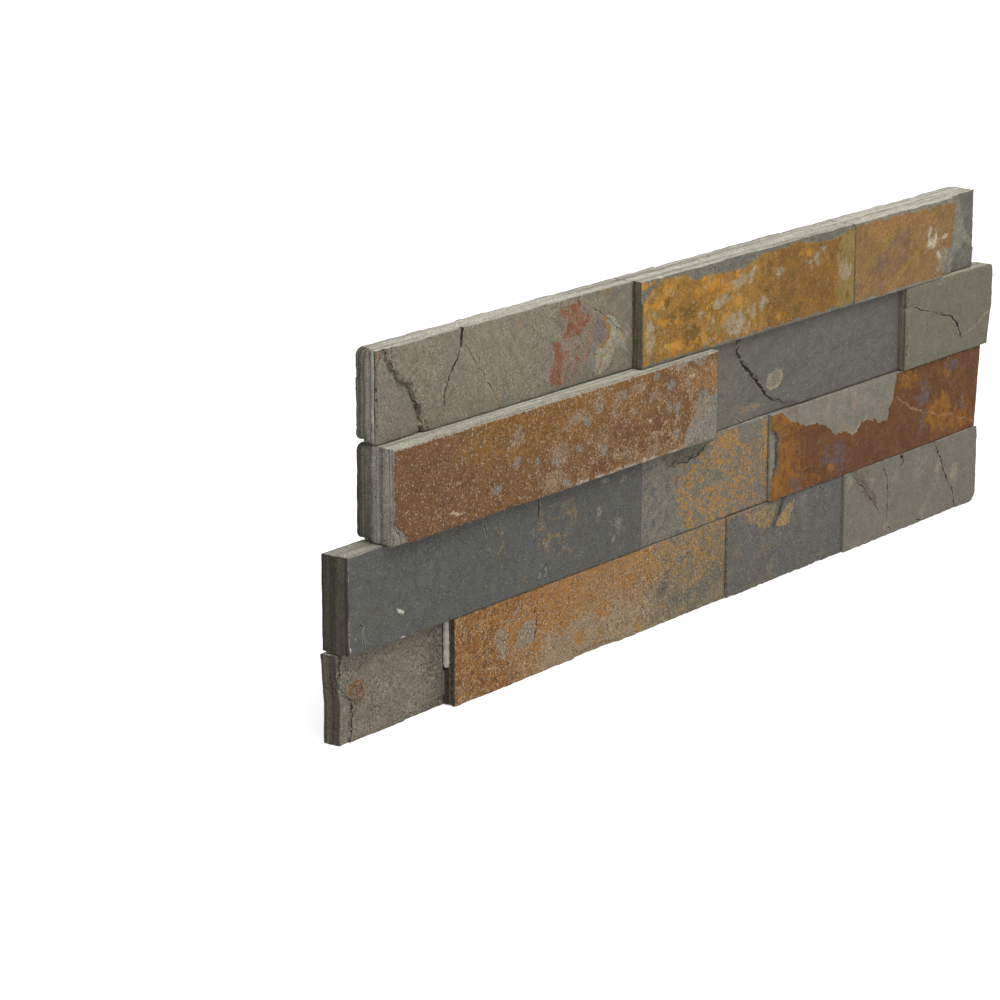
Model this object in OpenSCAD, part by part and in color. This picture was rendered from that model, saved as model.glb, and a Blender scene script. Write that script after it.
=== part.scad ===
// Ledge panel of split slate: thirteen stone strips in four courses, bonded edge to edge.
// X runs along the panel, Y points from the front into the wall, Z is up.
// The origin is the middle of the back face's bottom edge, and sizes are in millimetres.

/* [Panel] */
// How far the two upper courses start to the right of the bottom one
stagger = 22; // [0:1:40]
// How far the lower course starts to the right of the bottom one
lower_start = 1.4; // [0:0.1:5]
// Adhesive joint between two courses
bed_gap = 0.8; // [0.4:0.1:2]
// Adhesive joint between two stones of one course
butt_gap = 0.6; // [0.3:0.1:1.5]
// How deep the adhesive reaches in from the back
glue_depth = 5.5; // [3:0.5:6.5]
// How far the adhesive stays short of the back face
glue_setback = 0.5; // [0.2:0.1:1]
// How far a joint between two courses stays short of their ends
bed_inset = 4; // [0:0.5:10]
// Radius of the bead of adhesive beside the orange stone
bead_r = 1.5; // [0.5:0.1:2]
// Length of that bead
bead_l = 20; // [5:1:30]

/* [Splitting] */
// Thickness of the front skin that flakes off
skin_t = 0.9; // [0.4:0.1:1.5]
// Usual thickness of one split layer
layer_t = 2.6; // [1.5:0.1:5]
// Mean distance between two chips along a broken edge
chip_pitch = 7; // [5:0.5:15]
// Deepest chip along a broken edge
chip_depth = 0.9; // [0.2:0.1:1.2]
// Corner loss of a broken outline
corner_loss = 0.8; // [0.3:0.1:2]

/* [Course heights] */
// Height of the bottom course
bottom_h = 36; // [30:0.5:45]
// Height of the lower course
lower_h = 38.2; // [30:0.1:45]
// Height of the upper course
upper_h = 37.4; // [30:0.1:45]
// Height of the top course
top_h = 36; // [30:0.5:45]

/* [Bottom course] */
// Length of the olive end stone
bottom_olive_l = 64.2; // [50:0.2:120]
// Thickness of the olive end stone
bottom_olive_t = 8.4; // [8:0.1:20]
// Length of the orange stone
bottom_orange_l = 183.6; // [140:0.2:240]
// Thickness of the orange stone
bottom_orange_t = 13.2; // [9:0.1:22]
// Length of the grey stone
bottom_grey_l = 89.2; // [60:0.2:150]
// Thickness of the grey stone
bottom_grey_t = 14.2; // [9:0.1:22]
// Length of the buff end stone
bottom_buff_l = 114; // [70:0.2:160]
// Thickness of the buff end stone
bottom_buff_t = 15.4; // [9:0.1:22]

/* [Lower course] */
// Length of the dark blue-grey end stone
lower_dark_l = 185; // [140:0.2:240]
// Thickness of the dark blue-grey end stone
lower_dark_t = 13.5; // [9:0.1:22]
// Length of the speckled stone
lower_speckled_l = 92.6; // [70:0.2:150]
// Thickness of the speckled stone
lower_speckled_t = 13; // [9:0.1:22]
// Length of the copper end stone
lower_copper_l = 173.8; // [140:0.2:220]
// Thickness of the copper end stone
lower_copper_t = 14.8; // [9:0.1:22]

/* [Upper course] */
// Length of the rust end stone
upper_rust_l = 210.2; // [160:0.2:260]
// Thickness of the rust end stone
upper_rust_t = 19; // [9:0.1:22]
// Length of the grey stone
upper_grey_l = 151.6; // [100:0.2:200]
// Thickness of the grey stone
upper_grey_t = 12.6; // [9:0.1:22]
// Length of the olive end stone
upper_olive_l = 75.2; // [50:0.2:120]
// Thickness of the olive end stone
upper_olive_t = 16.4; // [9:0.1:22]

/* [Top course] */
// Length of the olive end stone
top_olive_l = 160.6; // [130:0.2:220]
// Thickness of the olive end stone
top_olive_t = 11; // [9:0.1:22]
// Length of the gold stone
top_gold_l = 157.4; // [120:0.2:220]
// Thickness of the gold stone
top_gold_t = 16; // [9:0.1:22]
// Length of the amber end stone
top_amber_l = 104.8; // [90:0.2:150]
// Thickness of the amber end stone
top_amber_t = 16.4; // [9:0.1:22]
// Length of the amber end stone's skin, short of its right end
top_amber_skin_l = 79; // [60:0.5:88]

/* [Hidden] */

// The flat bonding layer at the back of every stone is a little deeper than the adhesive
seat_margin = 0.5;
seat_t = glue_depth + seat_margin;

// Where each course starts and what it holds, from left to right
bottom_ls = [bottom_olive_l, bottom_orange_l, bottom_grey_l, bottom_buff_l];
lower_ls = [lower_dark_l, lower_speckled_l, lower_copper_l];
upper_ls = [upper_rust_l, upper_grey_l, upper_olive_l];
top_ls = [top_olive_l, top_gold_l, top_amber_l];

bottom_z = 0;
lower_z = bottom_z + bottom_h + bed_gap;
upper_z = lower_z + lower_h + bed_gap;
top_z = upper_z + upper_h + bed_gap;

// Left end of stone i in a course that starts at x
function stone_x(x, lengths, i) = i == 0 ? x : stone_x(x, lengths, i - 1) + lengths[i - 1] + butt_gap;
// Right end of a course that starts at x
function course_end(x, lengths) = stone_x(x, lengths, len(lengths) - 1) + lengths[len(lengths) - 1];

bottom_end = course_end(0, bottom_ls);
lower_end = course_end(lower_start, lower_ls);
upper_end = course_end(stagger, upper_ls);
top_end = course_end(stagger, top_ls);
panel_l = max(bottom_end, lower_end, upper_end, top_end);

// Which sides of a stone are free, in the order left, right, bottom, top
function sides(left, right, bottom, top) = [left, right, bottom, top];

// Points along one side: its two cut corners and, if it is broken, a chip at every pitch
function chips(length, broken, depth, seed) =
    let (n = max(1, round(length / chip_pitch)),
         along = rands(-0.25, 0.25, n, seed),
         inward = rands(0, depth, n, seed + 1))
    broken
        ? concat([[corner_loss, depth / 2]],
                 [for (i = [1:1:n - 1]) [(i + along[i]) * length / n, inward[i]]],
                 [[length - corner_loss, depth / 2]])
        : [[0, 0], [length, 0]];

// Closed outline of one split layer in a stone's own X and Z
function layer_outline(l, h, broken, depth, seed) =
    concat([for (p = chips(l, broken[2], depth, seed)) [p[0], p[1]]],
           [for (p = chips(h, broken[1], depth, seed + 10)) [l - p[1], p[0]]],
           [for (p = chips(l, broken[3], depth, seed + 20)) [l - p[0], h - p[1]]],
           [for (p = chips(h, broken[0], depth, seed + 30)) [p[1], h - p[0]]]);

// A broken line through hand-placed points, with a small chip at each half pitch
function broken_line(points, seed) =
    [for (i = [0:len(points) - 2])
        let (a = points[i],
             b = points[i + 1],
             n = max(1, round(norm(b - a) / chip_pitch * 2)),
             side = [a[1] - b[1], b[0] - a[0]] / norm(b - a),
             off = rands(-chip_depth / 2, chip_depth / 2, n, seed + i))
        for (k = [0:n - 1]) a + (b - a) * k / n + (k == 0 ? 0 : off[k]) * side];

// One split layer, between two distances from the back face
module layer(y_from, y_to, outline) {
    translate([0, -y_from, 0])
        rotate([90, 0, 0])
            linear_extrude(y_to - y_from)
                difference() {
                    polygon(outline);
                    children();
                }
}

// Waste around the two left corners of a layer, worn round
module worn_left_corners(h, r) {
    if (r > 0)
        for (z = [0, h])
            difference() {
                translate([-r, z - r]) square(2 * r);
                translate([r, z == 0 ? r : h - r]) circle(r = r, $fn = 48);
            }
}

// A slate strip: a flat bonding layer at the back, broken layers, and a skin that lacks its children.
// free says which sides meet no adhesive. The free bottom side stays flat up to the last two layers.
// worn_r rounds the left corners of the bonding layer.
module slate(l, h, t, free, seed, worn_r = 0) {
    body_t = t - seat_t - skin_t;
    n = max(1, round(body_t / layer_t));
    // Depths at which the stone splits, on round hundredths so that the layers meet exactly
    splits = [for (i = [0:n]) round((seat_t + i * body_t / n) * 100) / 100];
    all_broken = sides(true, true, true, true);
    back_broken = sides(free[0], free[1], false, free[3]);
    body_broken = sides(true, true, !free[2], true);
    layer(0, splits[0], layer_outline(l, h, back_broken, chip_depth / 2, seed))
        worn_left_corners(h, worn_r);
    for (i = [0:n - 1])
        layer(splits[i], splits[i + 1],
              layer_outline(l, h, i == n - 1 ? all_broken : body_broken, chip_depth, seed + 100 * (i + 1)));
    layer(splits[n], t, layer_outline(l, h, all_broken, chip_depth, seed + 900))
        children();
}

// Puts a stone or joint in place: x from the panel's left end, z from its bottom
module at(x, z) {
    translate([x - panel_l / 2, 0, z])
        children();
}

// A block as deep as a stone with the given outline, to trim the stone's ends to
module block(x, z, t, outline) {
    at(x, z)
        rotate([90, 0, 0])
            linear_extrude(t)
                polygon(outline);
}

// Far beyond any stone's edge, to carry a flake's outline off the stone
beyond = 10;

// Bottom course

module bottom_olive_stone() {
    h = bottom_h;
    l = bottom_olive_l;
    color("#6f6c5d") intersection() {
        at(0, bottom_z)
            slate(l, h, bottom_olive_t, sides(true, false, true, false), 11) {
                // The left end has lost its skin down to a curved crack
                polygon(concat(broken_line([[4.5, h + beyond], [4.5, h - 8], [8, h - 15], [10, h - 22],
                                            [8, -beyond]], 12),
                               [[-beyond, -beyond], [-beyond, h + beyond]]));
                // Loose flake at the lower right edge
                polygon(concat(broken_line([[40, -beyond], [41, 2], [47, 4], [55, 5], [l - 1, 8]], 13),
                               [[l + beyond, 8], [l + beyond, -beyond]]));
            }
        // The left end runs out to a point at the top
        block(0, bottom_z, bottom_olive_t,
              [[3.2, 0], [3.6, h * 0.45], [1.8, h * 0.7], [1.2, h * 0.82], [0, h], [l, h], [l, 0]]);
    }
}

module bottom_orange_stone() {
    h = bottom_h;
    color("#a8743a") at(stone_x(0, bottom_ls, 1), bottom_z)
        slate(bottom_orange_l, h, bottom_orange_t, sides(false, false, true, false), 21) {
            // Chip along the bottom edge
            polygon(concat(broken_line([[78, -beyond], [80, 1.6], [96, 2.6], [106, 1.2], [112, -beyond]], 22)));
            // Pale scar
            polygon(broken_line([[27, 15], [31, 11], [38, 13], [46, 14], [51, 19], [51, 25], [44, 25],
                                 [37, 19], [33, 23], [26, 23], [27, 15]], 23));
        }
}

module bottom_grey_stone() {
    h = bottom_h;
    color("#65665f") at(stone_x(0, bottom_ls, 2), bottom_z)
        slate(bottom_grey_l, h, bottom_grey_t, sides(false, false, true, false), 31) {
            // Two tan scars under the top edge
            polygon(broken_line([[13, h + beyond], [16, h - 3], [22, h - 9], [30, h - 9], [36, h - 4],
                                 [39, h + beyond], [13, h + beyond]], 32));
            polygon(broken_line([[38, h - 11], [44, h - 7], [50, h - 6], [49, h - 12], [38, h - 11]], 33));
        }
}

module bottom_buff_stone() {
    h = bottom_h;
    l = bottom_buff_l;
    // Radius of the worn lower right corner
    worn_r = 6;
    color("#77756b") intersection() {
        at(stone_x(0, bottom_ls, 3), bottom_z)
            slate(l, h, bottom_buff_t, sides(false, true, true, false), 41) {
                // Narrow flake between the two left-hand cracks
                polygon(broken_line([[6, h + beyond], [9, h - 1], [14, h - 6], [20, h - 12], [27, h - 21], [31, h - 18],
                                     [24, h - 8], [17, h - 1], [16, h + beyond], [6, h + beyond]], 42));
                // Flake along the right-hand crack
                polygon(broken_line([[75, h + beyond], [80, h - 2], [86, h - 11], [91, h - 22], [98, 1], [99, -beyond],
                                     [93, -beyond], [93, 1], [86, h - 20], [80, h - 10], [74, h - 2],
                                     [69, h + beyond], [75, h + beyond]], 43));
            }
        at(stone_x(0, bottom_ls, 3), bottom_z)
            rotate([90, 0, 0])
                linear_extrude(bottom_buff_t)
                    union() {
                        square([l - worn_r, h]);
                        translate([l - worn_r, worn_r]) square([worn_r, h - worn_r]);
                        translate([l - worn_r, worn_r]) circle(r = worn_r, $fn = 48);
                    }
    }
}

// Lower course

module lower_dark_stone() {
    h = lower_h;
    color("#54575a") at(lower_start, lower_z)
        slate(lower_dark_l, h, lower_dark_t, sides(true, false, false, false), 51) {
            // Scars in the right half
            polygon(broken_line([[152, 18], [157, 18], [158, 23], [154, 25], [152, 18]], 52));
            polygon(broken_line([[166, 9], [172, 11], [173, 17], [167, 17], [166, 9]], 53));
            polygon(broken_line([[116, 3], [120, 3], [123, 8], [117, 9], [116, 3]], 54));
        }
}

module lower_speckled_stone() {
    h = lower_h;
    color("#85775c") at(stone_x(lower_start, lower_ls, 1), lower_z)
        slate(lower_speckled_l, h, lower_speckled_t, sides(false, false, false, false), 61) {
            // The skin is missing above a rising break
            polygon(concat(broken_line([[12, h + beyond], [16, h - 5], [22, h - 8], [36, h - 6], [44, h - 3],
                                        [52, h + beyond]], 62)));
        }
}

module lower_copper_stone() {
    h = lower_h;
    x = stone_x(lower_start, lower_ls, 2);
    l = lower_copper_l;
    // How far the right end leans back towards its foot
    lean = 3.8;
    color("#8a4a22") intersection() {
        at(x, lower_z)
            slate(l, h, lower_copper_t, sides(false, true, false, false), 71) {
                // Grey area at the top edge where the copper skin has flaked off
                polygon(broken_line([[8, h + beyond], [11, h - 3], [24, h - 8], [42, h - 12], [50, h - 18],
                                     [64, h - 21], [76, h - 16], [94, h - 21], [97, h - 14], [100, h - 6],
                                     [100, h + beyond]], 72));
                // Eye-shaped loss at the left edge
                polygon(broken_line([[-beyond, h - 4], [1, h - 5], [4, h - 14], [3.5, h - 24], [1, h - 30],
                                     [-beyond, h - 31]], 73));
            }
        block(x, lower_z, lower_copper_t, [[0, 0], [l - lean, 0], [l - lean * 0.35, h * 0.6], [l, h], [0, h]]);
    }
}

// Upper course

module upper_rust_stone() {
    h = upper_h;
    color("#7d5226") at(stagger, upper_z)
        slate(upper_rust_l, h, upper_rust_t, sides(true, false, false, false), 81, worn_r = 2.5) {
            // Broken lower left corner
            polygon(broken_line([[-beyond, 8], [1, 8], [5, 5.5], [8, 2], [8, -beyond], [-beyond, -beyond]], 82));
            // Notch in the bottom edge
            polygon(broken_line([[68, -beyond], [69, 1.2], [75, 1.2], [76, -beyond]], 83));
        }
}

module upper_grey_stone() {
    h = upper_h;
    color("#63645f") at(stone_x(stagger, upper_ls, 1), upper_z)
        slate(upper_grey_l, h, upper_grey_t, sides(false, false, false, false), 91) {
            // Lower plane to the left of the long crack
            polygon(concat(broken_line([[26, h + beyond], [25, h - 8], [30, h - 12], [38, h - 21], [46, h - 29],
                                        [53, h - 34], [60, -beyond]], 92),
                           [[-beyond, -beyond], [-beyond, h + beyond]]));
            // Shell-shaped scar beside the crack
            polygon(broken_line([[47, h - 27], [54, h - 27], [58, h - 21], [57, h - 18], [51, h - 20], [47, h - 27]], 93));
        }
}

module upper_olive_stone() {
    h = upper_h;
    x = stone_x(stagger, upper_ls, 2);
    l = upper_olive_l;
    // How far the right end leans back towards its foot
    lean = 3.6;
    // Size of the worn upper right corner
    worn = 2;
    color("#75736a") intersection() {
        at(x, upper_z)
            slate(l, h, upper_olive_t, sides(false, true, false, false), 101)
                // Rough left edge
                polygon(concat(broken_line([[3, h + beyond], [3, h - 8], [1.5, h - 12], [2, 12], [1, -beyond]], 102),
                               [[-beyond, -beyond], [-beyond, h + beyond]]));
        block(x, upper_z, upper_olive_t,
              [[0, 0], [l - lean, 0], [l - lean / 3, h * 0.46], [l, h * 0.52], [l, h - worn],
               [l - worn / 3, h - worn / 3], [l - worn, h], [0, h]]);
    }
}

// Top course

module top_olive_stone() {
    h = top_h;
    color("#6e6b60") at(stagger, top_z)
        slate(top_olive_l, h, top_olive_t, sides(true, false, false, true), 111, worn_r = 3)
            // Lower plane between the left scarp and the long crack
            polygon(broken_line([[6, h + beyond], [9, h - 8], [17, h - 15], [24, h - 24], [28, -beyond],
                                 [41, -beyond], [40, 13], [44, h - 14], [50, h - 8], [52, h + beyond]], 112));
}

module top_gold_stone() {
    h = top_h;
    color("#a87822") at(stone_x(stagger, top_ls, 1), top_z)
        slate(top_gold_l, h, top_gold_t, sides(false, false, false, true), 121) {
            // Long shallow loss along the top edge
            polygon(broken_line([[27, h + beyond], [30, h - 2], [37, h - 5], [46, h - 4.2], [62, h - 5], [76, h - 4.5],
                                 [86, h - 2], [92, h + beyond]], 122));
            // Slanting loss across the upper left corner
            polygon(broken_line([[-beyond, h - 7], [0, h - 7], [8, h - 3], [14, h + beyond], [-beyond, h + beyond]], 123));
        }
}

module top_amber_stone() {
    h = top_h;
    l = top_amber_l;
    // How much thinner the bare right end is than the rest
    end_step = 3;
    color("#96702f") difference() {
        at(stone_x(stagger, top_ls, 2), top_z)
            slate(l, h, top_amber_t, sides(false, true, false, true), 131);
        // The front layers have broken off the right end
        at(stone_x(stagger, top_ls, 2), top_z)
            translate([0, -top_amber_t + end_step, 0])
                rotate([90, 0, 0])
                    linear_extrude(end_step + 1)
                        polygon(concat(broken_line([[top_amber_skin_l + 2, h + beyond], [top_amber_skin_l + 1, h - 5],
                                                    [top_amber_skin_l, h - 12], [top_amber_skin_l - 2, h - 22],
                                                    [top_amber_skin_l - 8, 7], [top_amber_skin_l - 12, -beyond]], 132),
                                       [[l + beyond, -beyond], [l + beyond, h + beyond]]));
    }
}

// Adhesive

glue_colour = "#b9b5a6";

// Joint between two courses that lie on each other from one place to another
module bed_adhesive(x_from, x_to, z) {
    color(glue_colour) at(x_from + bed_inset, z)
        translate([0, -glue_depth, 0])
            cube([x_to - x_from - 2 * bed_inset, glue_depth - glue_setback, bed_gap]);
}

// Joint after stone i of a course
module butt_adhesive(x, lengths, i, z, h) {
    color(glue_colour) at(stone_x(x, lengths, i) + lengths[i], z)
        translate([0, -glue_depth, 0])
            cube([butt_gap, glue_depth - glue_setback, h]);
}

module bed_adhesive_bottom() bed_adhesive(lower_start, min(bottom_end, lower_end), lower_z - bed_gap);
module bed_adhesive_middle() bed_adhesive(max(lower_start, stagger), min(lower_end, upper_end), upper_z - bed_gap);
module bed_adhesive_top() bed_adhesive(stagger, min(upper_end, top_end), top_z - bed_gap);
module butt_adhesive_bottom_left() {
    front_y = -bottom_olive_t;
    butt_adhesive(0, bottom_ls, 0, bottom_z, bottom_h);
    // A bead of it has come out against the end of the orange stone
    color(glue_colour) at(stone_x(0, bottom_ls, 1), bottom_z + bottom_h - bead_l)
        linear_extrude(bead_l)
            union() {
                translate([-butt_gap, front_y - butt_gap / 2])
                    square([butt_gap, bottom_olive_t + butt_gap / 2 - glue_setback]);
                intersection() {
                    translate([0, front_y]) circle(r = bead_r, $fn = 48);
                    translate([-bead_r, front_y - bead_r]) square(bead_r);
                }
            }
}
module butt_adhesive_bottom_middle() butt_adhesive(0, bottom_ls, 1, bottom_z, bottom_h);
module butt_adhesive_bottom_right() butt_adhesive(0, bottom_ls, 2, bottom_z, bottom_h);
module butt_adhesive_lower_left() butt_adhesive(lower_start, lower_ls, 0, lower_z, lower_h);
module butt_adhesive_lower_right() butt_adhesive(lower_start, lower_ls, 1, lower_z, lower_h);
module butt_adhesive_upper_left() butt_adhesive(stagger, upper_ls, 0, upper_z, upper_h);
module butt_adhesive_upper_right() butt_adhesive(stagger, upper_ls, 1, upper_z, upper_h);
module butt_adhesive_top_left() butt_adhesive(stagger, top_ls, 0, top_z, top_h);
module butt_adhesive_top_right() butt_adhesive(stagger, top_ls, 1, top_z, top_h);

bottom_olive_stone();
bottom_orange_stone();
bottom_grey_stone();
bottom_buff_stone();
lower_dark_stone();
lower_speckled_stone();
lower_copper_stone();
upper_rust_stone();
upper_grey_stone();
upper_olive_stone();
top_olive_stone();
top_gold_stone();
top_amber_stone();
bed_adhesive_bottom();
bed_adhesive_middle();
bed_adhesive_top();
butt_adhesive_bottom_left();
butt_adhesive_bottom_middle();
butt_adhesive_bottom_right();
butt_adhesive_lower_left();
butt_adhesive_lower_right();
butt_adhesive_upper_left();
butt_adhesive_upper_right();
butt_adhesive_top_left();
butt_adhesive_top_right();
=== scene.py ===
import math

import bpy
import numpy as np
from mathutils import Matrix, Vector


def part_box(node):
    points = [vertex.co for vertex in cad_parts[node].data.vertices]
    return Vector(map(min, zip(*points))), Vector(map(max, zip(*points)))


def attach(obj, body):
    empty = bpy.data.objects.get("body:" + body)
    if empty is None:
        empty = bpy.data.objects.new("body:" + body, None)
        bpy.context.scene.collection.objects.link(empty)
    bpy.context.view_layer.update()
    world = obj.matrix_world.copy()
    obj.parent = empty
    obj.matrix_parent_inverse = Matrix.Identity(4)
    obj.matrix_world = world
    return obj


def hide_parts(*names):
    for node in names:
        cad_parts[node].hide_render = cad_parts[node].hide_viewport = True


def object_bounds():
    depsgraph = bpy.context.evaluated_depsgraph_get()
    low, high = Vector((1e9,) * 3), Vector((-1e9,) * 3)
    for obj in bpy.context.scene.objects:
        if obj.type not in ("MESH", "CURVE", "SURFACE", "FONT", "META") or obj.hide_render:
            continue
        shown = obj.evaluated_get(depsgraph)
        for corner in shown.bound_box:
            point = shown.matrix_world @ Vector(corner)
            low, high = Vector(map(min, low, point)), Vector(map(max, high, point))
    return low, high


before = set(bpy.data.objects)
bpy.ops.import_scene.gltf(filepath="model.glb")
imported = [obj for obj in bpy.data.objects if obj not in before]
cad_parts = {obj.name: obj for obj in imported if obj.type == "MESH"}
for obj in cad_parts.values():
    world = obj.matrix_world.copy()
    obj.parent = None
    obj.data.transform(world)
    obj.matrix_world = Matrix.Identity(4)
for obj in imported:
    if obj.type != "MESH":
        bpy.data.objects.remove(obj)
CAD_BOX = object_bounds()

MM = 0.001

# Camera: the photograph's view, solved from the corners of the stones
VIEW_TURN = math.radians(51.7)
VIEW_DOWN = math.radians(15.5)
FOCAL_PX = 3500.0
FRAME_PX = 1000.0
SENSOR_MM = 36.0
# Its place in millimetres from the panel's left end, wall plane and foot
CAMERA_FROM_LEFT_END = (-940.5, -829.0, 443.1)

# Mesh spacing of the cleft faces along X and Z, and of the sides along Y, in millimetres
STEP_X = 0.6
STEP_Z = 0.5
STEP_Y = 1.0
# How many fine steps make one coarse step on the sawn back
BACK_EVERY = 4
# Thickness of one split layer as it shows on the sides
LAYER = 1.3

# Light: a broad lamp above the front, a fill from the left, and an even sky. Places are in metres
LAMPS_AIM = (0, 0, 0.07)
KEY_PLACE = (-0.12, -0.85, 1.5)
KEY_SIZE = 1.3
KEY_WATTS = 17.5
FILL_PLACE = (-1.3, -1.2, 0.7)
FILL_SIZE = 1.2
FILL_WATTS = 7
SKY_LEVEL = 0.38
WHITE = (1, 1, 1, 1)
FLOOR_TONE = (0.9, 0.9, 0.9, 1)
FLOOR_HALF = 6.0
# How much brighter the floor looks than it is lit, so that it is white where no shadow falls
FLOOR_LIFT = 0.64

# How much each side of a stone has lost: little where it is glued, more where it is broken off freely
GLUED = 0.12
LEDGE = 0.3
FREE = 0.9
# How far the front layers swell towards a neighbour, and the depths between which they begin to
SWELL = 0.28
SWELL_FROM = 7
SWELL_TO = 9
# Length of the bumps along each side: small chips below, long gentle waves above
RAG = {"left": 11, "right": 11, "bottom": 6, "top": 20}

# Shares of the thickness behind the front: the two rings that round the arris, where the side's own outline
# is fully reached, and the first ring of the side
ARRIS_RINGS = (0.012, 0.035)
ARRIS_END = 0.05
SIDE_FROM = 0.07
# How far inside the stone's outline the coarse grid of the sawn back ends
BACK_INSET = 1.2

# Cracks: how far from one its distance is kept, and how deep its groove is as a share of the depth asked for.
# A deep groove would hide its own dark floor, painted as the shade inside the crack, from a slanting view
CRACK_REACH = 1.6
GROOVE_SHARE = 0.25
# A distance that stands for no crack nearby
FAR = 9.0
# Noise mostly lies between these two values
NOISE_LOW = 0.36
NOISE_HIGH = 0.64
STONE_SPECULAR = 0.2


def rgb(red, green, blue):
    """A colour as seen on a screen, from 0 to 255, in the linear light that shaders take."""
    out = []
    for value in (red, green, blue):
        share = value / 255
        out.append(share / 12.92 if share <= 0.04045 else ((share + 0.055) / 1.055) ** 2.4)
    return (*out, 1.0)


# Tones that many stones share
SIDE_TONES = (rgb(92, 89, 79), rgb(142, 138, 124))
# Tops: paler for their dust, and paler still as painted light from above
TOP_DUST_AND_LIGHT_TONES = ((158, 153, 138), (212, 207, 192))
CHIP_PALE = rgb(170, 164, 148)
# Near black: painted shade inside cracks, splits, holes, pits, grooves and gaps; also small dark blotches
DEEP_SHADE_AND_DARK = rgb(32, 29, 25)
SHADE = rgb(72, 68, 58)
PIT_DARK = rgb(120, 116, 108)


def placed(name, data):
    """A new object of the scene that holds the data."""
    made = bpy.data.objects.new(name, data)
    bpy.context.scene.collection.objects.link(made)
    return made


def camera():
    data = bpy.data.cameras.new("camera")
    data.sensor_width = SENSOR_MM
    data.lens = SENSOR_MM * FOCAL_PX / FRAME_PX
    data.clip_start = 0.05
    data.clip_end = 20
    eye = placed("camera", data)
    left_end = CAD_BOX[0][0]
    x, y, z = CAMERA_FROM_LEFT_END
    eye.location = (left_end + x * MM, y * MM, z * MM)
    forward = Vector((
        math.sin(VIEW_TURN) * math.cos(VIEW_DOWN),
        math.cos(VIEW_TURN) * math.cos(VIEW_DOWN),
        -math.sin(VIEW_DOWN),
    ))
    eye.rotation_euler = forward.to_track_quat("-Z", "Y").to_euler()
    bpy.context.scene.camera = eye


def area_light(name, place, size, watts):
    data = bpy.data.lights.new(name, "AREA")
    data.shape = "DISK"
    data.size = size
    data.energy = watts
    lamp = placed(name, data)
    lamp.location = place
    aim = Vector(LAMPS_AIM) - Vector(place)
    lamp.rotation_euler = aim.to_track_quat("-Z", "Y").to_euler()


def shader_node(tree, kind, **values):
    """A node with some of its sockets set."""
    node = tree.nodes.new(kind)
    for name, value in values.items():
        node.inputs[name].default_value = value
    return node


def studio():
    bpy.context.scene.view_settings.view_transform = "Standard"
    area_light("key", KEY_PLACE, KEY_SIZE, KEY_WATTS)
    area_light("fill", FILL_PLACE, FILL_SIZE, FILL_WATTS)
    world = bpy.data.worlds.new("studio")
    world.use_nodes = True
    bpy.context.scene.world = world
    tree = world.node_tree
    tree.nodes.clear()
    out = tree.nodes.new("ShaderNodeOutputWorld")
    light = shader_node(tree, "ShaderNodeBackground", Color=WHITE, Strength=SKY_LEVEL)
    seen = shader_node(tree, "ShaderNodeBackground", Color=WHITE, Strength=1.0)
    pick = tree.nodes.new("ShaderNodeMixShader")
    tree.links.new(backdrop_rays(tree), pick.inputs[0])
    tree.links.new(light.outputs[0], pick.inputs[1])
    tree.links.new(seen.outputs[0], pick.inputs[2])
    tree.links.new(pick.outputs[0], out.inputs["Surface"])


def backdrop_rays(tree):
    """A socket that is 1 for rays that show the backdrop: the camera's, and mirrored or transmitted ones."""
    path = tree.nodes.new("ShaderNodeLightPath")
    total = path.outputs["Is Camera Ray"]
    for name in ("Is Glossy Ray", "Is Transmission Ray"):
        add = tree.nodes.new("ShaderNodeMath")
        add.operation = "MAXIMUM"
        tree.links.new(total, add.inputs[0])
        tree.links.new(path.outputs[name], add.inputs[1])
        total = add.outputs[0]
    return total


def floor():
    mesh = bpy.data.meshes.new("floor")
    corners = [(x * FLOOR_HALF, y * FLOOR_HALF, 0) for x, y in ((-1, -1), (1, -1), (1, 1), (-1, 1))]
    mesh.from_pydata(corners, [], [(0, 1, 2, 3)])
    plane = placed("floor", mesh)
    mat = bpy.data.materials.new("floor")
    mat.use_nodes = True
    tree = mat.node_tree
    tree.nodes.clear()
    out = tree.nodes.new("ShaderNodeOutputMaterial")
    matt = shader_node(tree, "ShaderNodeBsdfDiffuse", Color=FLOOR_TONE)
    lift = shader_node(tree, "ShaderNodeEmission", Color=WHITE)
    level = tree.nodes.new("ShaderNodeMath")
    level.operation = "MULTIPLY"
    tree.links.new(backdrop_rays(tree), level.inputs[0])
    level.inputs[1].default_value = FLOOR_LIFT
    tree.links.new(level.outputs[0], lift.inputs["Strength"])
    both = tree.nodes.new("ShaderNodeAddShader")
    tree.links.new(matt.outputs[0], both.inputs[0])
    tree.links.new(lift.outputs[0], both.inputs[1])
    tree.links.new(both.outputs[0], out.inputs["Surface"])
    mesh.materials.append(mat)


# Noise and distances, on arrays of places in millimetres

def smooth(low, high, value):
    """0 below low, 1 above high and a smooth ramp between."""
    t = np.clip((value - low) / (high - low), 0, 1)
    return t * t * (3 - 2 * t)


def gradient_noise(u, v, seed):
    """Gradient noise with a cell of 1, about -1 to 1."""
    iu = np.floor(u).astype(np.int64)
    iv = np.floor(v).astype(np.int64)
    fu = u - iu
    fv = v - iv

    def corner(du, dv):
        mixed = (iu + du) * 374761393 + (iv + dv) * 668265263 + seed * 974634777
        mixed = (mixed ^ (mixed >> 13)) * 1274126177
        angle = ((mixed ^ (mixed >> 16)) & 0xFFFF) * (2 * math.pi / 0x10000)
        return np.cos(angle) * (fu - du) + np.sin(angle) * (fv - dv)

    su = fu * fu * fu * (fu * (fu * 6 - 15) + 10)
    sv = fv * fv * fv * (fv * (fv * 6 - 15) + 10)
    low = corner(0, 0) * (1 - su) + corner(1, 0) * su
    high = corner(0, 1) * (1 - su) + corner(1, 1) * su
    return 1.5 * (low * (1 - sv) + high * sv)


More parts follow.
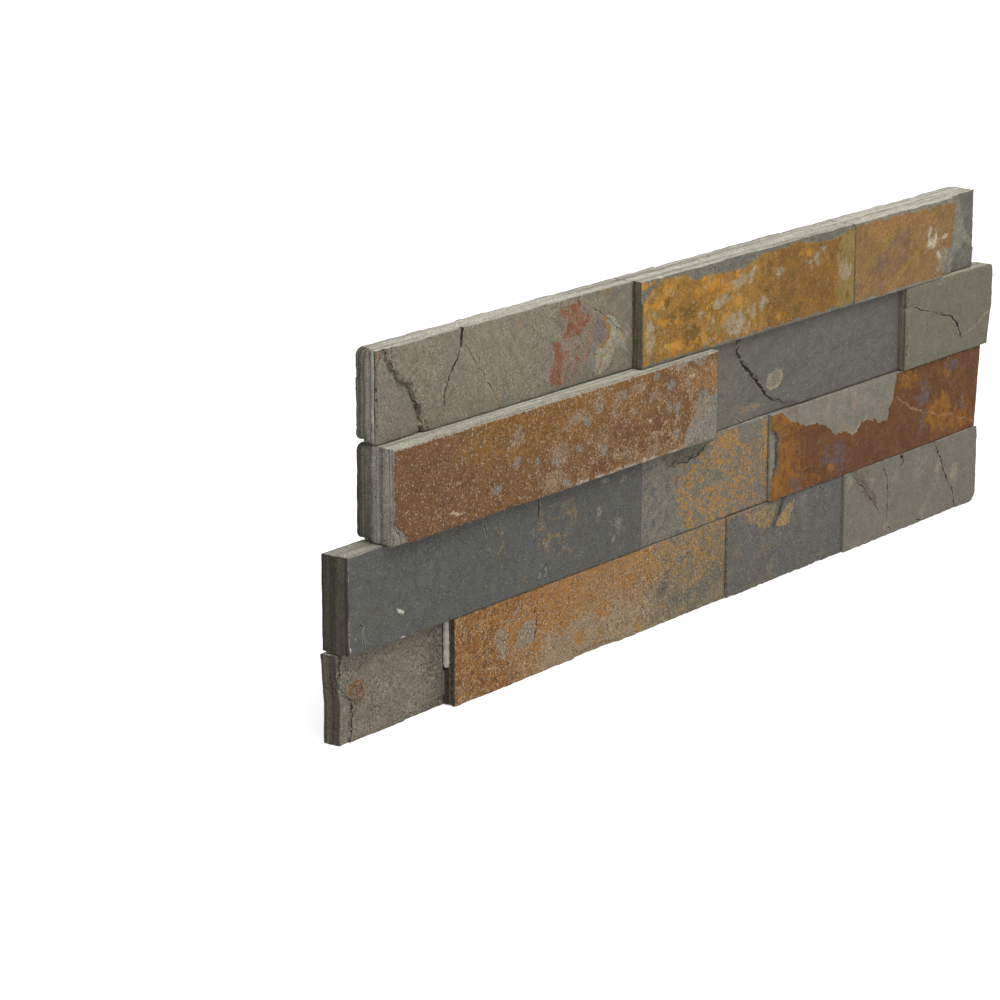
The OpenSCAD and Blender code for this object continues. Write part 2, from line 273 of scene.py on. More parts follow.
def clouds(x, z, size, seed, octaves=4, rough=0.5):
    """Layered noise whose largest lumps are about size across, about -1 to 1."""
    total = 0
    weight = 1.0
    whole = 0.0
    for k in range(octaves):
        scale = 2 ** k / size
        total = total + weight * gradient_noise(x * scale + 17.3 * k, z * scale + 9.1 * k, seed + 7 * k)
        whole += weight
        weight *= rough
    return 1.5 * total / whole


def terraces(value, count, riser):
    """Turns a smooth field into flat treads with risers that take up the given share of each tread."""
    scaled = value * count
    tread = np.floor(scaled)
    return (tread + smooth(1 - riser, 1, scaled - tread)) / count


def line_distance(x, z, points):
    """Distance to a broken line, which side of it (1 is its left, or -1) and the share of its length."""
    best = np.full(x.shape, 1e9)
    side = np.ones(x.shape)
    share = np.zeros(x.shape)
    spans = [math.dist(a, b) for a, b in zip(points[:-1], points[1:])]
    whole = sum(spans)
    done = 0.0
    for (ax, az), (bx, bz), span in zip(points[:-1], points[1:], spans):
        dx = bx - ax
        dz = bz - az
        t = np.clip(((x - ax) * dx + (z - az) * dz) / (span * span), 0, 1)
        d = np.hypot(x - ax - t * dx, z - az - t * dz)
        cross = dx * (z - az) - dz * (x - ax)
        near = d < best
        best = np.where(near, d, best)
        side = np.where(near, np.where(cross < 0, -1, 1), side)
        share = np.where(near, (done + t * span) / whole, share)
        done += span
    return best, side, share


def inside_distance(x, z, points):
    """Distance to a closed outline, positive inside it."""
    closed = list(points) + [points[0]]
    best, _, _ = line_distance(x, z, closed)
    inside = np.zeros(x.shape, bool)
    for (ax, az), (bx, bz) in zip(closed[:-1], closed[1:]):
        if az == bz:
            continue
        crosses = ((az > z) != (bz > z)) & (x < (bx - ax) * (z - az) / (bz - az) + ax)
        inside ^= crosses
    return np.where(inside, best, -best)


class Face:
    """The cleft front of one stone: where its mesh points are, how deep they lie, and what covers them.

    corners lists worn corners as (side, at its far end, radius, only near the back).
    slants gives extra loss along a side as pairs of (place, loss).
    """

    def __init__(self, node, seed, losses, corners=(), slants=None):
        low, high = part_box(node)
        self.node = node
        self.seed = seed
        self.losses = losses
        self.corners = corners
        self.slants = slants or {}
        self.low = Vector(low) / MM
        self.high = Vector(high) / MM
        self.length = self.high.x - self.low.x
        self.height = self.high.z - self.low.z
        self.thick = self.high.y - self.low.y
        self.nx = BACK_EVERY * round(self.length / STEP_X / BACK_EVERY)
        self.nz = BACK_EVERY * round(self.height / STEP_Z / BACK_EVERY)
        u, v = np.meshgrid(np.linspace(0, 1, self.nx + 1), np.linspace(0, 1, self.nz + 1), indexing="ij")
        left = self.loss("left", v * self.height, self.thick)
        right = self.loss("right", v * self.height, self.thick)
        bottom = self.loss("bottom", u * self.length, self.thick)
        top = self.loss("top", u * self.length, self.thick)
        self.x = left + u * (self.length - left - right)
        self.z = bottom + v * (self.height - bottom - top)
        self.depth = np.zeros(self.x.shape)
        self.masks = {}
        # Places nudged about, so that what is drawn with straight lines comes out ragged
        self.rx = self.x + 1.3 * self.cloud(9, 901) + 0.6 * self.cloud(2.4, 902, 3)
        self.rz = self.z + 1.3 * self.cloud(9, 903) + 0.6 * self.cloud(2.4, 904, 3)
        # The same for cracks, more finely jagged
        self.jx = self.x + 0.7 * self.cloud(7, 905, 3) + 0.5 * self.cloud(1.9, 906, 3)
        self.jz = self.z + 0.7 * self.cloud(7, 907, 3) + 0.5 * self.cloud(1.9, 908, 3)
        self.line_near = np.full(self.x.shape, FAR)
        self.masks["line"] = np.full(self.x.shape, FAR)
        self.masks["line_width"] = np.zeros(self.x.shape)
        self.masks["crack_rim_highlight"] = np.zeros(self.x.shape)

    def loss(self, side, along, depth):
        """How far a side lies inside the stone's box, at a place along it and a depth from the back."""
        amount = self.losses[side]
        salt = self.seed + {"left": 31, "right": 47, "bottom": 59, "top": 73}[side]
        layer = np.floor(depth / LAYER + 0.7 * clouds(along, depth, 30, salt, 2))
        line = clouds(along, layer * 37.7, RAG[side], salt + 5, 4, 0.6)
        lost = amount * np.clip(0.4 + 0.8 * line, 0, 1)
        if amount <= LEDGE:
            lost = lost - SWELL * smooth(SWELL_FROM, SWELL_TO, depth)
        span = self.length if side in ("bottom", "top") else self.height
        for where, far, radius, rear in self.corners:
            if where != side:
                continue
            gap = span - along if far else along
            reach = np.clip(radius - gap, 0, radius)
            rounding = radius - np.sqrt(radius * radius - reach * reach)
            lost = lost + rounding * (smooth(9, 3, depth) if rear else 1)
        if side in self.slants:
            places, extra = zip(*self.slants[side])
            lost = lost + np.interp(along, places, extra)
        return lost

    def cloud(self, size, salt, octaves=4, stretch=1.0, turn=0.0):
        """Noise over the face; stretch draws it out along a direction turned by so many degrees."""
        c = math.cos(math.radians(turn))
        s = math.sin(math.radians(turn))
        along = (self.x * c + self.z * s) / stretch
        across = self.z * c - self.x * s
        return clouds(along, across, size, self.seed * 13 + salt, octaves)

    def edge(self):
        """Distance to the nearest edge of the box. Edges set against a neighbour count as further off."""
        away = []
        for side, gap in (("left", self.x), ("right", self.length - self.x), ("bottom", self.z),
                          ("top", self.height - self.z)):
            amount = self.losses[side]
            away.append(gap + (SWELL + 0.5 if amount <= GLUED else SWELL + 0.1 if amount <= LEDGE else 0))
        return np.minimum.reduce(away)

    def cover(self, name, amount):
        """Raises a mask to an amount from 0 to 1 wherever it lies lower."""
        old = self.masks.get(name, np.zeros(self.x.shape))
        self.masks[name] = np.clip(np.maximum(old, amount), 0, 1)

    def uncover(self, name, amount):
        """Takes a share of a mask away."""
        self.masks[name] = self.masks[name] * (1 - np.clip(amount, 0, 1))

    def region(self, points, soft=1.2):
        """1 inside a ragged outline and 0 outside."""
        return smooth(-soft, soft, inside_distance(self.rx, self.rz, points))

    def spot(self, x, z, rx, rz, turn=0, soft=0.4):
        """1 inside a ragged ellipse and 0 outside."""
        c = math.cos(math.radians(turn))
        s = math.sin(math.radians(turn))
        u = ((self.rx - x) * c + (self.rz - z) * s) / rx
        v = ((self.rz - z) * c - (self.rx - x) * s) / rz
        return smooth(1 + soft, 1 - soft, np.hypot(u, v))

    def spots(self, name, amount, places, soft=0.45):
        """Covers ragged ellipses, each (x, z, half width, half height) and a turn where it has one."""
        for place in places:
            self.cover(name, amount * self.spot(*place, soft=soft))

    def patch(self, name, amount, points, soft=1.2):
        """Covers the inside of a ragged outline."""
        self.cover(name, amount * self.region(points, soft))

    def stroke(self, name, amount, points, half, soft=0.8):
        """Covers a ragged line."""
        self.cover(name, amount * self.band(points, half, soft))

    def blotches(self, name, amount, low, high, *noise):
        """Covers wherever a cloud rises from low to high."""
        self.cover(name, amount * smooth(low, high, self.cloud(*noise)))

    def band(self, points, half, soft=0.8):
        """1 along a ragged line and 0 away from it."""
        d, _, _ = line_distance(self.rx, self.rz, points)
        return smooth(half + soft, max(half - soft, 0), d)

    def lump(self, big, deep):
        """Gentle unevenness over the whole face."""
        self.depth += deep * (0.5 + 0.5 * self.cloud(big, 11, 3))

    def cleft(self, size, count, deep, turn=20, salt=21):
        """Flat splits with low scarps between them."""
        field = 0.5 + 0.45 * self.cloud(size, salt, 5, 1.8, turn)
        self.depth += deep * terraces(field, count, 0.1)

    def grain(self, size, deep, salt=31):
        """Small lumps all over the face."""
        self.depth += deep * self.cloud(size, salt, 4)

    def flake(self, points, deep, soft=0.35):
        """A missing flake with a sharp scarp all round."""
        self.depth += deep * self.region(points, soft)

    def scarp(self, points, deep, fade, soft=0.35, shade=0.6):
        """A step down on the left of a line, which evens out over a distance."""
        d, side, _ = line_distance(self.rx, self.rz, points)
        below = np.where(side > 0, d, -d)
        self.depth += deep * smooth(-soft, soft, below) * np.exp(-np.maximum(below, 0) / fade)
        self.cover("shade", shade * smooth(-0.8, 0.1, below) * smooth(2.2, 0.4, below))

    def crack(self, points, half=0.2, deep=0.4, lip=0.4):
        """A thin jagged dark line of painted shade, thinning out at its ends, with a paler rim of painted
        highlight.
        """
        d, side, share = line_distance(self.jx, self.jz, points)
        ends = smooth(0, 0.15, share) * smooth(1, 0.85, share)
        width = half * (0.3 + 0.7 * ends) * np.clip(0.9 + 0.7 * self.cloud(5, 41, 3), 0.25, 1.7)
        fading = smooth(CRACK_REACH - 0.1 + half, 1.0 + half, d)
        # Where a crack is drawn twice, the wider one counts
        same = np.abs(d - self.line_near) <= 0.01
        near = (d <= self.line_near + 0.01) & (d < CRACK_REACH + half)
        fresh = width * fading
        wider = np.where(same, np.maximum(fresh, self.masks["line_width"]), fresh)
        self.line_near = np.where(near, d, self.line_near)
        self.masks["line"] = np.where(near, side * d, self.masks["line"])
        self.masks["line_width"] = np.where(near, wider, self.masks["line_width"])
        # The paler rim beside a crack is a painted highlight, where its edge catches the light
        self.masks["crack_rim_highlight"] = np.where(near, lip * ends * fading, self.masks["crack_rim_highlight"])
        self.depth += GROOVE_SHARE * deep * ends * np.exp(-(d / (0.3 + width)) ** 2)

    def worn_edges(self, wide, deep):
        """Arrises nibbled away by small chips."""
        reach = wide * np.clip(0.55 + 0.6 * self.cloud(5, 51, 3), 0.1, 1.4)
        gone = smooth(1, 0, self.edge() / reach)
        self.depth += deep * gone
        self.cover("chip", gone * np.clip(0.45 + 1.6 * self.cloud(7, 52, 3), 0, 1))


# Masks that stay on the front and its arris
FRONT_ONLY = ("line_width", "crack_rim_highlight", "dark", "shade")


def ring_places(face, depth):
    """Points once round the stone at a depth from the back: along the bottom, up the right end, and back."""
    across = np.linspace(0, 1, face.nx + 1)
    up = np.linspace(0, 1, face.nz + 1)
    deep_x = np.full(across.shape, depth)
    deep_z = np.full(up.shape, depth)
    left = face.loss("left", up * face.height, deep_z)
    right = face.loss("right", up * face.height, deep_z)
    bottom = face.loss("bottom", across * face.length, deep_x)
    top = face.loss("top", across * face.length, deep_x)
    foot_x = left[0] + across * (face.length - left[0] - right[0])
    head_x = left[-1] + across * (face.length - left[-1] - right[-1])
    left_z = bottom[0] + up * (face.height - bottom[0] - top[0])
    right_z = bottom[-1] + up * (face.height - bottom[-1] - top[-1])
    xs = [foot_x[:-1], face.length - right[:-1], head_x[:0:-1], left[:0:-1]]
    zs = [bottom[:-1], right_z[:-1], face.height - top[:0:-1], left_z[:0:-1]]
    return np.concatenate(xs), np.concatenate(zs)


def ring_indices(face):
    """Numbers of the front grid's border points, in the order of ring_places."""
    grid = np.arange((face.nx + 1) * (face.nz + 1)).reshape(face.nx + 1, face.nz + 1)
    parts = [grid[:-1, 0], grid[-1, :-1], grid[:0:-1, -1], grid[0, :0:-1]]
    return np.concatenate(parts)


def quads_between(inner, outer):
    """Faces that join two closed rings of equal length."""
    nxt_in = np.roll(inner, -1)
    nxt_out = np.roll(outer, -1)
    return np.stack([inner, outer, nxt_out, nxt_in], axis=1)


def stone_piece(face, material):
    """Builds the closed stone: cleft front grid, layered sides ring by ring, and a coarse sawn back."""
    face.depth -= face.depth.min()
    front_y = -(face.thick - face.depth)
    xs = [face.x.ravel()]
    zs = [face.z.ravel()]
    ys = [front_y.ravel()]
    grid = np.arange(face.x.size).reshape(face.x.shape)
    faces = [np.stack([grid[:-1, :-1], grid[1:, :-1], grid[1:, 1:], grid[:-1, 1:]], axis=-1).reshape(-1, 4)]
    border = ring_indices(face)
    last = border
    edge_y = front_y.ravel()[border]
    front_x = face.x.ravel()[border]
    front_z = face.z.ravel()[border]
    count = max(6, round(face.thick / STEP_Y))
    shares = np.concatenate([ARRIS_RINGS, np.linspace(SIDE_FROM, 1, count)])
    made = face.x.size
    for share in shares:
        depth = face.thick * (1 - share)
        rx, rz = ring_places(face, depth)
        near_front = smooth(ARRIS_END, ARRIS_RINGS[0], np.full(rx.shape, share))
        xs.append(rx * (1 - near_front) + front_x * near_front)
        zs.append(rz * (1 - near_front) + front_z * near_front)
        ys.append(edge_y * (1 - share))
        ring = np.arange(made, made + len(rx))
        faces.append(quads_between(last, ring))
        last = ring
        made += len(rx)
    back_x, back_z, back_faces = sawn_back(face, last, made)
    xs.append(back_x)
    zs.append(back_z)
    ys.append(np.zeros(back_x.shape))
    points = np.stack([np.concatenate(xs) + face.low.x, np.concatenate(ys) + face.high.y,
                       np.concatenate(zs) + face.low.z], axis=1) * MM
    polygons = np.concatenate(faces).tolist() + back_faces
    name = face.node.replace("_stone", "_slate")
    mesh = bpy.data.meshes.new(name)
    mesh.from_pydata(points.tolist(), [], polygons)
    front_count = face.x.size
    front = np.zeros(len(points))
    front[:front_count] = smooth(-0.3, 0.6, face.edge()).ravel()
    write_mask(mesh, "front", front)
    ring_front = np.concatenate([border] * len(shares))
    around = np.repeat([0, 1, 2, 3], [face.nx, face.nz, face.nx, face.nz])
    for side, number in (("top", 2), ("left", 3)):
        whole = np.zeros(len(points))
        whole[front_count:front_count + len(ring_front)] = np.tile(around == number, len(shares))
        write_mask(mesh, side, whole)
    for mask, values in face.masks.items():
        flat = values.ravel()
        whole = np.zeros(len(points))
        whole[:front_count] = flat
        reached = len(border) * len(ARRIS_RINGS) if mask in FRONT_ONLY else len(ring_front)
        whole[front_count:front_count + reached] = flat[ring_front[:reached]]
        write_mask(mesh, mask, whole)
    smooth_flags = np.ones(len(polygons), bool)
    smooth_flags[len(polygons) - len(back_faces):] = False
    mesh.polygons.foreach_set("use_smooth", smooth_flags)
    mesh.materials.append(material)
    mesh.update()
    piece = placed(name, mesh)
    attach(piece, "root")
    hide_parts(face.node)


def sawn_back(face, ring, made):
    """The flat back: a coarse grid inside the last ring, and faces that lead from the fine ring to it."""
    cx = face.nx // BACK_EVERY
    cz = face.nz // BACK_EVERY
    up = np.linspace(0, face.height, face.nz)
    across = np.linspace(0, face.length, face.nx)
    left = BACK_INSET + face.loss("left", up, 0 * up).max()
    right = face.length - BACK_INSET - face.loss("right", up, 0 * up).max()
    bottom = BACK_INSET + face.loss("bottom", across, 0 * across).max()
    top = face.height - BACK_INSET - face.loss("top", across, 0 * across).max()
    us, vs = np.meshgrid(np.linspace(left, right, cx + 1), np.linspace(bottom, top, cz + 1), indexing="ij")
    grid = made + np.arange(us.size).reshape(us.shape)
    inner = np.stack([grid[:-1, :-1], grid[:-1, 1:], grid[1:, 1:], grid[1:, :-1]], axis=-1).reshape(-1, 4)
    coarse = np.concatenate([grid[:-1, 0], grid[-1, :-1], grid[:0:-1, -1], grid[0, :0:-1]])
    polygons = inner.tolist()
    for i in range(len(coarse)):
        fine = [int(ring[(BACK_EVERY * i + k) % len(ring)]) for k in range(BACK_EVERY + 1)]
        polygons.append([int(coarse[i])] + fine + [int(coarse[(i + 1) % len(coarse)])])
    return us.ravel(), vs.ravel(), [poly[::-1] if len(poly) > 4 else poly for poly in polygons]


def write_mask(mesh, name, values):
    """Keeps one value per mesh point under a name that the material can read."""
    attribute = mesh.attributes.new(name, "FLOAT", "POINT")
    attribute.data.foreach_set("value", values.astype(np.float32))


class Graph:
    """Builds one material's nodes. Places are the stone's own, so nothing slides when the view moves."""

    def __init__(self, name):
        self.material = bpy.data.materials.new(name)
        self.material.use_nodes = True
        self.tree = self.material.node_tree
        self.shader = self.tree.nodes["Principled BSDF"]
        self.places = self.tree.nodes.new("ShaderNodeTexCoord").outputs["Object"]

    def put(self, socket, value):
        """Links a socket, or sets it where the value is a plain one."""
        if isinstance(value, bpy.types.NodeSocket):
            self.tree.links.new(value, socket)
        else:
            socket.default_value = value

    def noise(self, size, detail=3.0, rough=0.6, stretch=(1, 1, 1), shift=0.0, turn=0.0):
        """Noise with lumps of about this many millimetres, drawn out by stretch along turned X, Y and Z."""
        mapping = self.tree.nodes.new("ShaderNodeMapping")
        mapping.vector_type = "TEXTURE"
        self.put(mapping.inputs["Vector"], self.places)
        mapping.inputs["Scale"].default_value = [size * MM * s for s in stretch]
        mapping.inputs["Rotation"].default_value = (0, -math.radians(turn), 0)
        mapping.inputs["Location"].default_value = [shift * size * MM * s for s in stretch]
        texture = self.tree.nodes.new("ShaderNodeTexNoise")
        self.put(texture.inputs["Vector"], mapping.outputs["Vector"])
        texture.inputs["Scale"].default_value = 1.0
        texture.inputs["Detail"].default_value = detail
        texture.inputs["Roughness"].default_value = rough
        return texture.outputs["Fac"]

    def mask(self, name):
        node = self.tree.nodes.new("ShaderNodeAttribute")
        node.attribute_name = name
        return node.outputs["Fac"]

    def math(self, operation, first, second=0.0):
        node = self.tree.nodes.new("ShaderNodeMath")
        node.operation = operation
        self.put(node.inputs[0], first)
        self.put(node.inputs[1], second)
        return node.outputs[0]

    def plus(self, first, second):
        return self.math("ADD", first, second)

    def times(self, first, second):
        return self.math("MULTIPLY", first, second)

    def remap(self, value, low, high, to_low=0.0, to_high=1.0):
        node = self.tree.nodes.new("ShaderNodeMapRange")
        self.put(node.inputs["Value"], value)
        node.inputs["From Min"].default_value = low
        node.inputs["From Max"].default_value = high
        node.inputs["To Min"].default_value = to_low
        node.inputs["To Max"].default_value = to_high
        return node.outputs["Result"]

    def mix(self, share, first, second, blend="MIX"):
        node = self.tree.nodes.new("ShaderNodeMix")
        node.data_type = "RGBA"
        node.blend_type = blend
        self.put(node.inputs[0], share)
        self.put(node.inputs[6], first)
        self.put(node.inputs[7], second)
        return node.outputs[2]

    def spread(self, noise, low=0.0, high=1.0):
        """Noise, stretched to run from low to high."""
        return self.remap(noise, NOISE_LOW, NOISE_HIGH, low, high)

    def scaled(self, colour, factor):
        """A colour made lighter or darker by a factor."""
        return self.mix(1.0, colour, factor, "MULTIPLY")

    def bump(self, height, distance):
        """Roughens the surface by a height from 0 to 1, over a distance in millimetres."""
        node = self.tree.nodes.new("ShaderNodeBump")
        node.inputs["Strength"].default_value = 1.0
        node.inputs["Distance"].default_value = distance * MM
        self.put(node.inputs["Height"], height)
        self.put(self.shader.inputs["Normal"], node.outputs["Normal"])

    def broken(self, cover, breaker, rag, soft=0.06):
        """A mask whose partly covered places turn into specks of the breaker; rag 0 is a clean edge."""
        limit = self.remap(breaker, 0.35, 0.65, 0.54 - rag / 2, 0.54 + rag / 2)
        return self.remap(self.math("SUBTRACT", cover, limit), -soft, soft)

    def depth_share(self, thick):
        """0 at the stone's back and 1 at its front."""
        node = self.tree.nodes.new("ShaderNodeSeparateXYZ")
        self.put(node.inputs[0], self.places)
        return self.remap(node.outputs["Y"], 0.0, -thick * MM)


def front_tone(g, ground, veils, middle, soft, streak):
    """The cleft face: three ground tones, and the veils over them one by one."""
    pale, mid, dark = [rgb(*tone) for tone in ground]
    front = g.mix(g.spread(g.noise(20, 5, 0.6)), pale, mid)
    front = g.mix(g.times(middle, 0.75), front, dark)
    for number, (mask, tone, other, size, rag) in enumerate(veils):
        breaker = g.noise(size, 7, 0.7, shift=11.3 + 5 * number)
        share = g.broken(g.mask(mask), breaker, rag, soft)
        patch = g.remap(g.noise(size * 1.7, 6, 0.7, shift=31 + 3 * number), 0.38, 0.62)
        front = g.mix(share, front, g.mix(patch, rgb(*tone), rgb(*other)))
    if streak:
        size, length, turn, strength = streak
        lines = g.noise(size, 4, 0.65, stretch=(length, 1, 1), shift=2.9, turn=turn)
        front = g.scaled(front, g.spread(lines, 1 - strength, 1 + strength))
    chips = g.broken(g.mask("chip"), g.noise(1.4, 5, 0.7, shift=4.4), 0.8)
    return g.mix(g.times(chips, 0.85), front, CHIP_PALE)


def end_tone(g, end, thick, layered, bands, blotch):
    """The left end: a rear and a front tone, with dark lines of painted shade where it is split right
    through.
    """
    rear, near, turn_at, fade = end[:4]
    inward = g.depth_share(thick)
    tone = g.mix(g.remap(inward, turn_at - fade, turn_at + fade), rgb(*rear), rgb(*near))
    for split in end[4:]:
        off = g.math("ABSOLUTE", g.plus(inward, g.remap(bands, 0.3, 0.7, -split - 0.02, -split + 0.02)))
        tone = g.mix(g.remap(off, 0.022, 0.012), tone, DEEP_SHADE_AND_DARK)
    tone = g.scaled(tone, g.remap(layered, 0.42, 0.58, 0.6, 1.4))
    return g.scaled(tone, g.spread(blotch, 0.86, 1.14))


def side_tone(g, face, end, top_dust_and_light, layered, bands):
    """The sides show the splits as thin lines along the stone, and the top is paler: its dust, and painted
    light from above.
    """
    blotch = g.noise(3, 6, 0.7, shift=2.2)
    side = g.mix(g.remap(g.plus(layered, g.times(blotch, 0.4)), 0.6, 0.8), *SIDE_TONES)
    if end:
        side = g.mix(g.mask("left"), side, end_tone(g, end, face.thick, layered, bands, blotch))
    ridge, hollow = [rgb(*tone) for tone in top_dust_and_light]
    # The top in two tones: its dust, and painted light from above
    dust = g.mix(g.remap(g.plus(layered, g.times(blotch, 0.12)), 0.48, 0.62), ridge, hollow)
    return g.mix(g.mask("top"), side, dust)


def gritted(g, colour, fine, edge, grain, speck):
    """Grain that is strong in some patches and weak in others, dark pits, and glints on the face."""
    coarse = g.noise(1.7, 5, 0.75, shift=17.7)
    gritty = g.remap(g.noise(8, 6, 0.65, shift=71.3), 0.4, 0.6, 0.4, 1.0)
    grit = g.scaled(g.remap(coarse, 0.34, 0.66, 1 - 0.4 * grain, 1 + 0.4 * grain),
                    g.remap(fine, 0.34, 0.66, 1 - 1.25 * grain, 1 + 1.25 * grain))
    colour = g.mix(gritty, colour, g.scaled(colour, grit))
    pits = g.times(g.remap(g.noise(1.0, 3, 0.6, shift=41.3), 0.37, 0.31), speck)
    colour = g.mix(pits, colour, PIT_DARK, "MULTIPLY")
    bright = g.remap(g.noise(0.9, 3, 0.6, shift=53.9), 0.66 - 0.05 * speck, 0.72 - 0.05 * speck)
    return g.mix(g.times(bright, g.times(edge, 0.8 * speck)), colour, CHIP_PALE)


def cracked(g, colour):
    """Cracks: thin dark lines of painted shade where the distance to them is small, and a paler lip of
    painted highlight beside them.
    """
    wobble = g.remap(g.noise(1.2, 4, 0.7, shift=3.7), 0.3, 0.7, -0.12, 0.12)
    away = g.plus(g.math("ABSOLUTE", g.mask("line")), wobble)
    width = g.mask("line_width")
    within = g.math("SUBTRACT", width, away)
    lip = g.times(g.remap(within, -0.75, -0.35), g.remap(g.noise(2.2, 4, 0.7, shift=9.4), 0.4, 0.6))
    colour = g.mix(g.times(lip, g.mask("crack_rim_highlight")), colour, CHIP_PALE)
    line = g.times(g.remap(within, -0.08, 0.08), g.remap(width, 0.02, 0.08))
    return g.mix(g.times(line, 0.92), colour, DEEP_SHADE_AND_DARK)


def slate(face, ground, veils, end=None, top_dust_and_light=TOP_DUST_AND_LIGHT_TONES, roughness=0.85, grain=0.3, relief=0.3,
          streak=None, soft=0.1, speck=0.3, mottle=0.0):
    """Split slate.

    Tones are red, green and blue from 0 to 255. ground is three of them. A veil is (mask, tone, second tone,
    size of its specks, raggedness). end is the left end: rear tone, front tone, where one turns into the
    other as a share of the depth, and over what share. The depths of splits, painted dark as the shade in
    them, may follow. ledge is the two tones of the top: its dust, and painted light from above.
    streak is (size, length, turn, strength) of fine lines over the front. soft is how gently veils end,
    speck how strong pits and glints are, and mottle how much the ground turns lighter and darker in patches.
    """
    g = Graph(face.node.replace("_stone", ""))
    middle = g.spread(g.noise(4.5, 7, 0.72, shift=3.1))
    fine = g.noise(0.6, 4, 0.75, shift=7.7)
    splits = g.noise(0.7, 4, 0.7, stretch=(150, 1, 150), shift=1.3)
    bands = g.noise(2.2, 3, 0.5, stretch=(90, 1, 90), shift=5.1)
    layered = g.plus(g.times(splits, 0.5), g.times(bands, 0.5))
    front = front_tone(g, ground, veils, middle, soft, streak)
    side = side_tone(g, face, end, top_dust_and_light, layered, bands)
    edge = g.broken(g.mask("front"), g.noise(1.3, 4, 0.6, shift=6.4), 0.5)
    colour = g.mix(edge, side, front)
    if mottle:
        colour = g.scaled(colour, g.spread(g.noise(7, 7, 0.7, shift=14.2), 1 - mottle, 1 + mottle))
    colour = gritted(g, colour, fine, edge, grain, speck)
    if "shade" in face.masks:
        shaded = g.broken(g.mask("shade"), g.noise(2, 6, 0.7, shift=8.8), 0.9)
        colour = g.mix(g.times(shaded, 0.72), colour, SHADE)
    # Painted shade, near black, in holes, pits, grooves and gaps; also small dark blotches
    if "dark" in face.masks:
        colour = g.mix(g.broken(g.mask("dark"), g.noise(1.5, 5, 0.7, shift=8.1), 0.5), colour, DEEP_SHADE_AND_DARK)
    g.put(g.shader.inputs["Base Color"], cracked(g, colour))
    g.put(g.shader.inputs["Roughness"], g.remap(middle, 0.0, 1.0, roughness - 0.08, roughness + 0.08))
    g.shader.inputs["Specular IOR Level"].default_value = STONE_SPECULAR
    # Grain on the cleft face, and fine ribs where the splits come out at the sides
    rough = g.plus(fine, g.times(g.noise(0.45, 3, 0.7, shift=9.9), 0.5))
    ribs = g.times(g.remap(layered, 0.35, 0.65), g.remap(g.mask("front"), 0.0, 1.0, 1.2, 0.0))
    g.bump(g.plus(rough, ribs), 0.8 * relief)
    return g.material


def losses(left=GLUED, right=GLUED, bottom=LEDGE, top=LEDGE):
    """How much each side has lost, in millimetres."""
    return {"left": left, "right": right, "bottom": bottom, "top": top}


# The stones. Places on a face are in millimetres from its lower left corner.

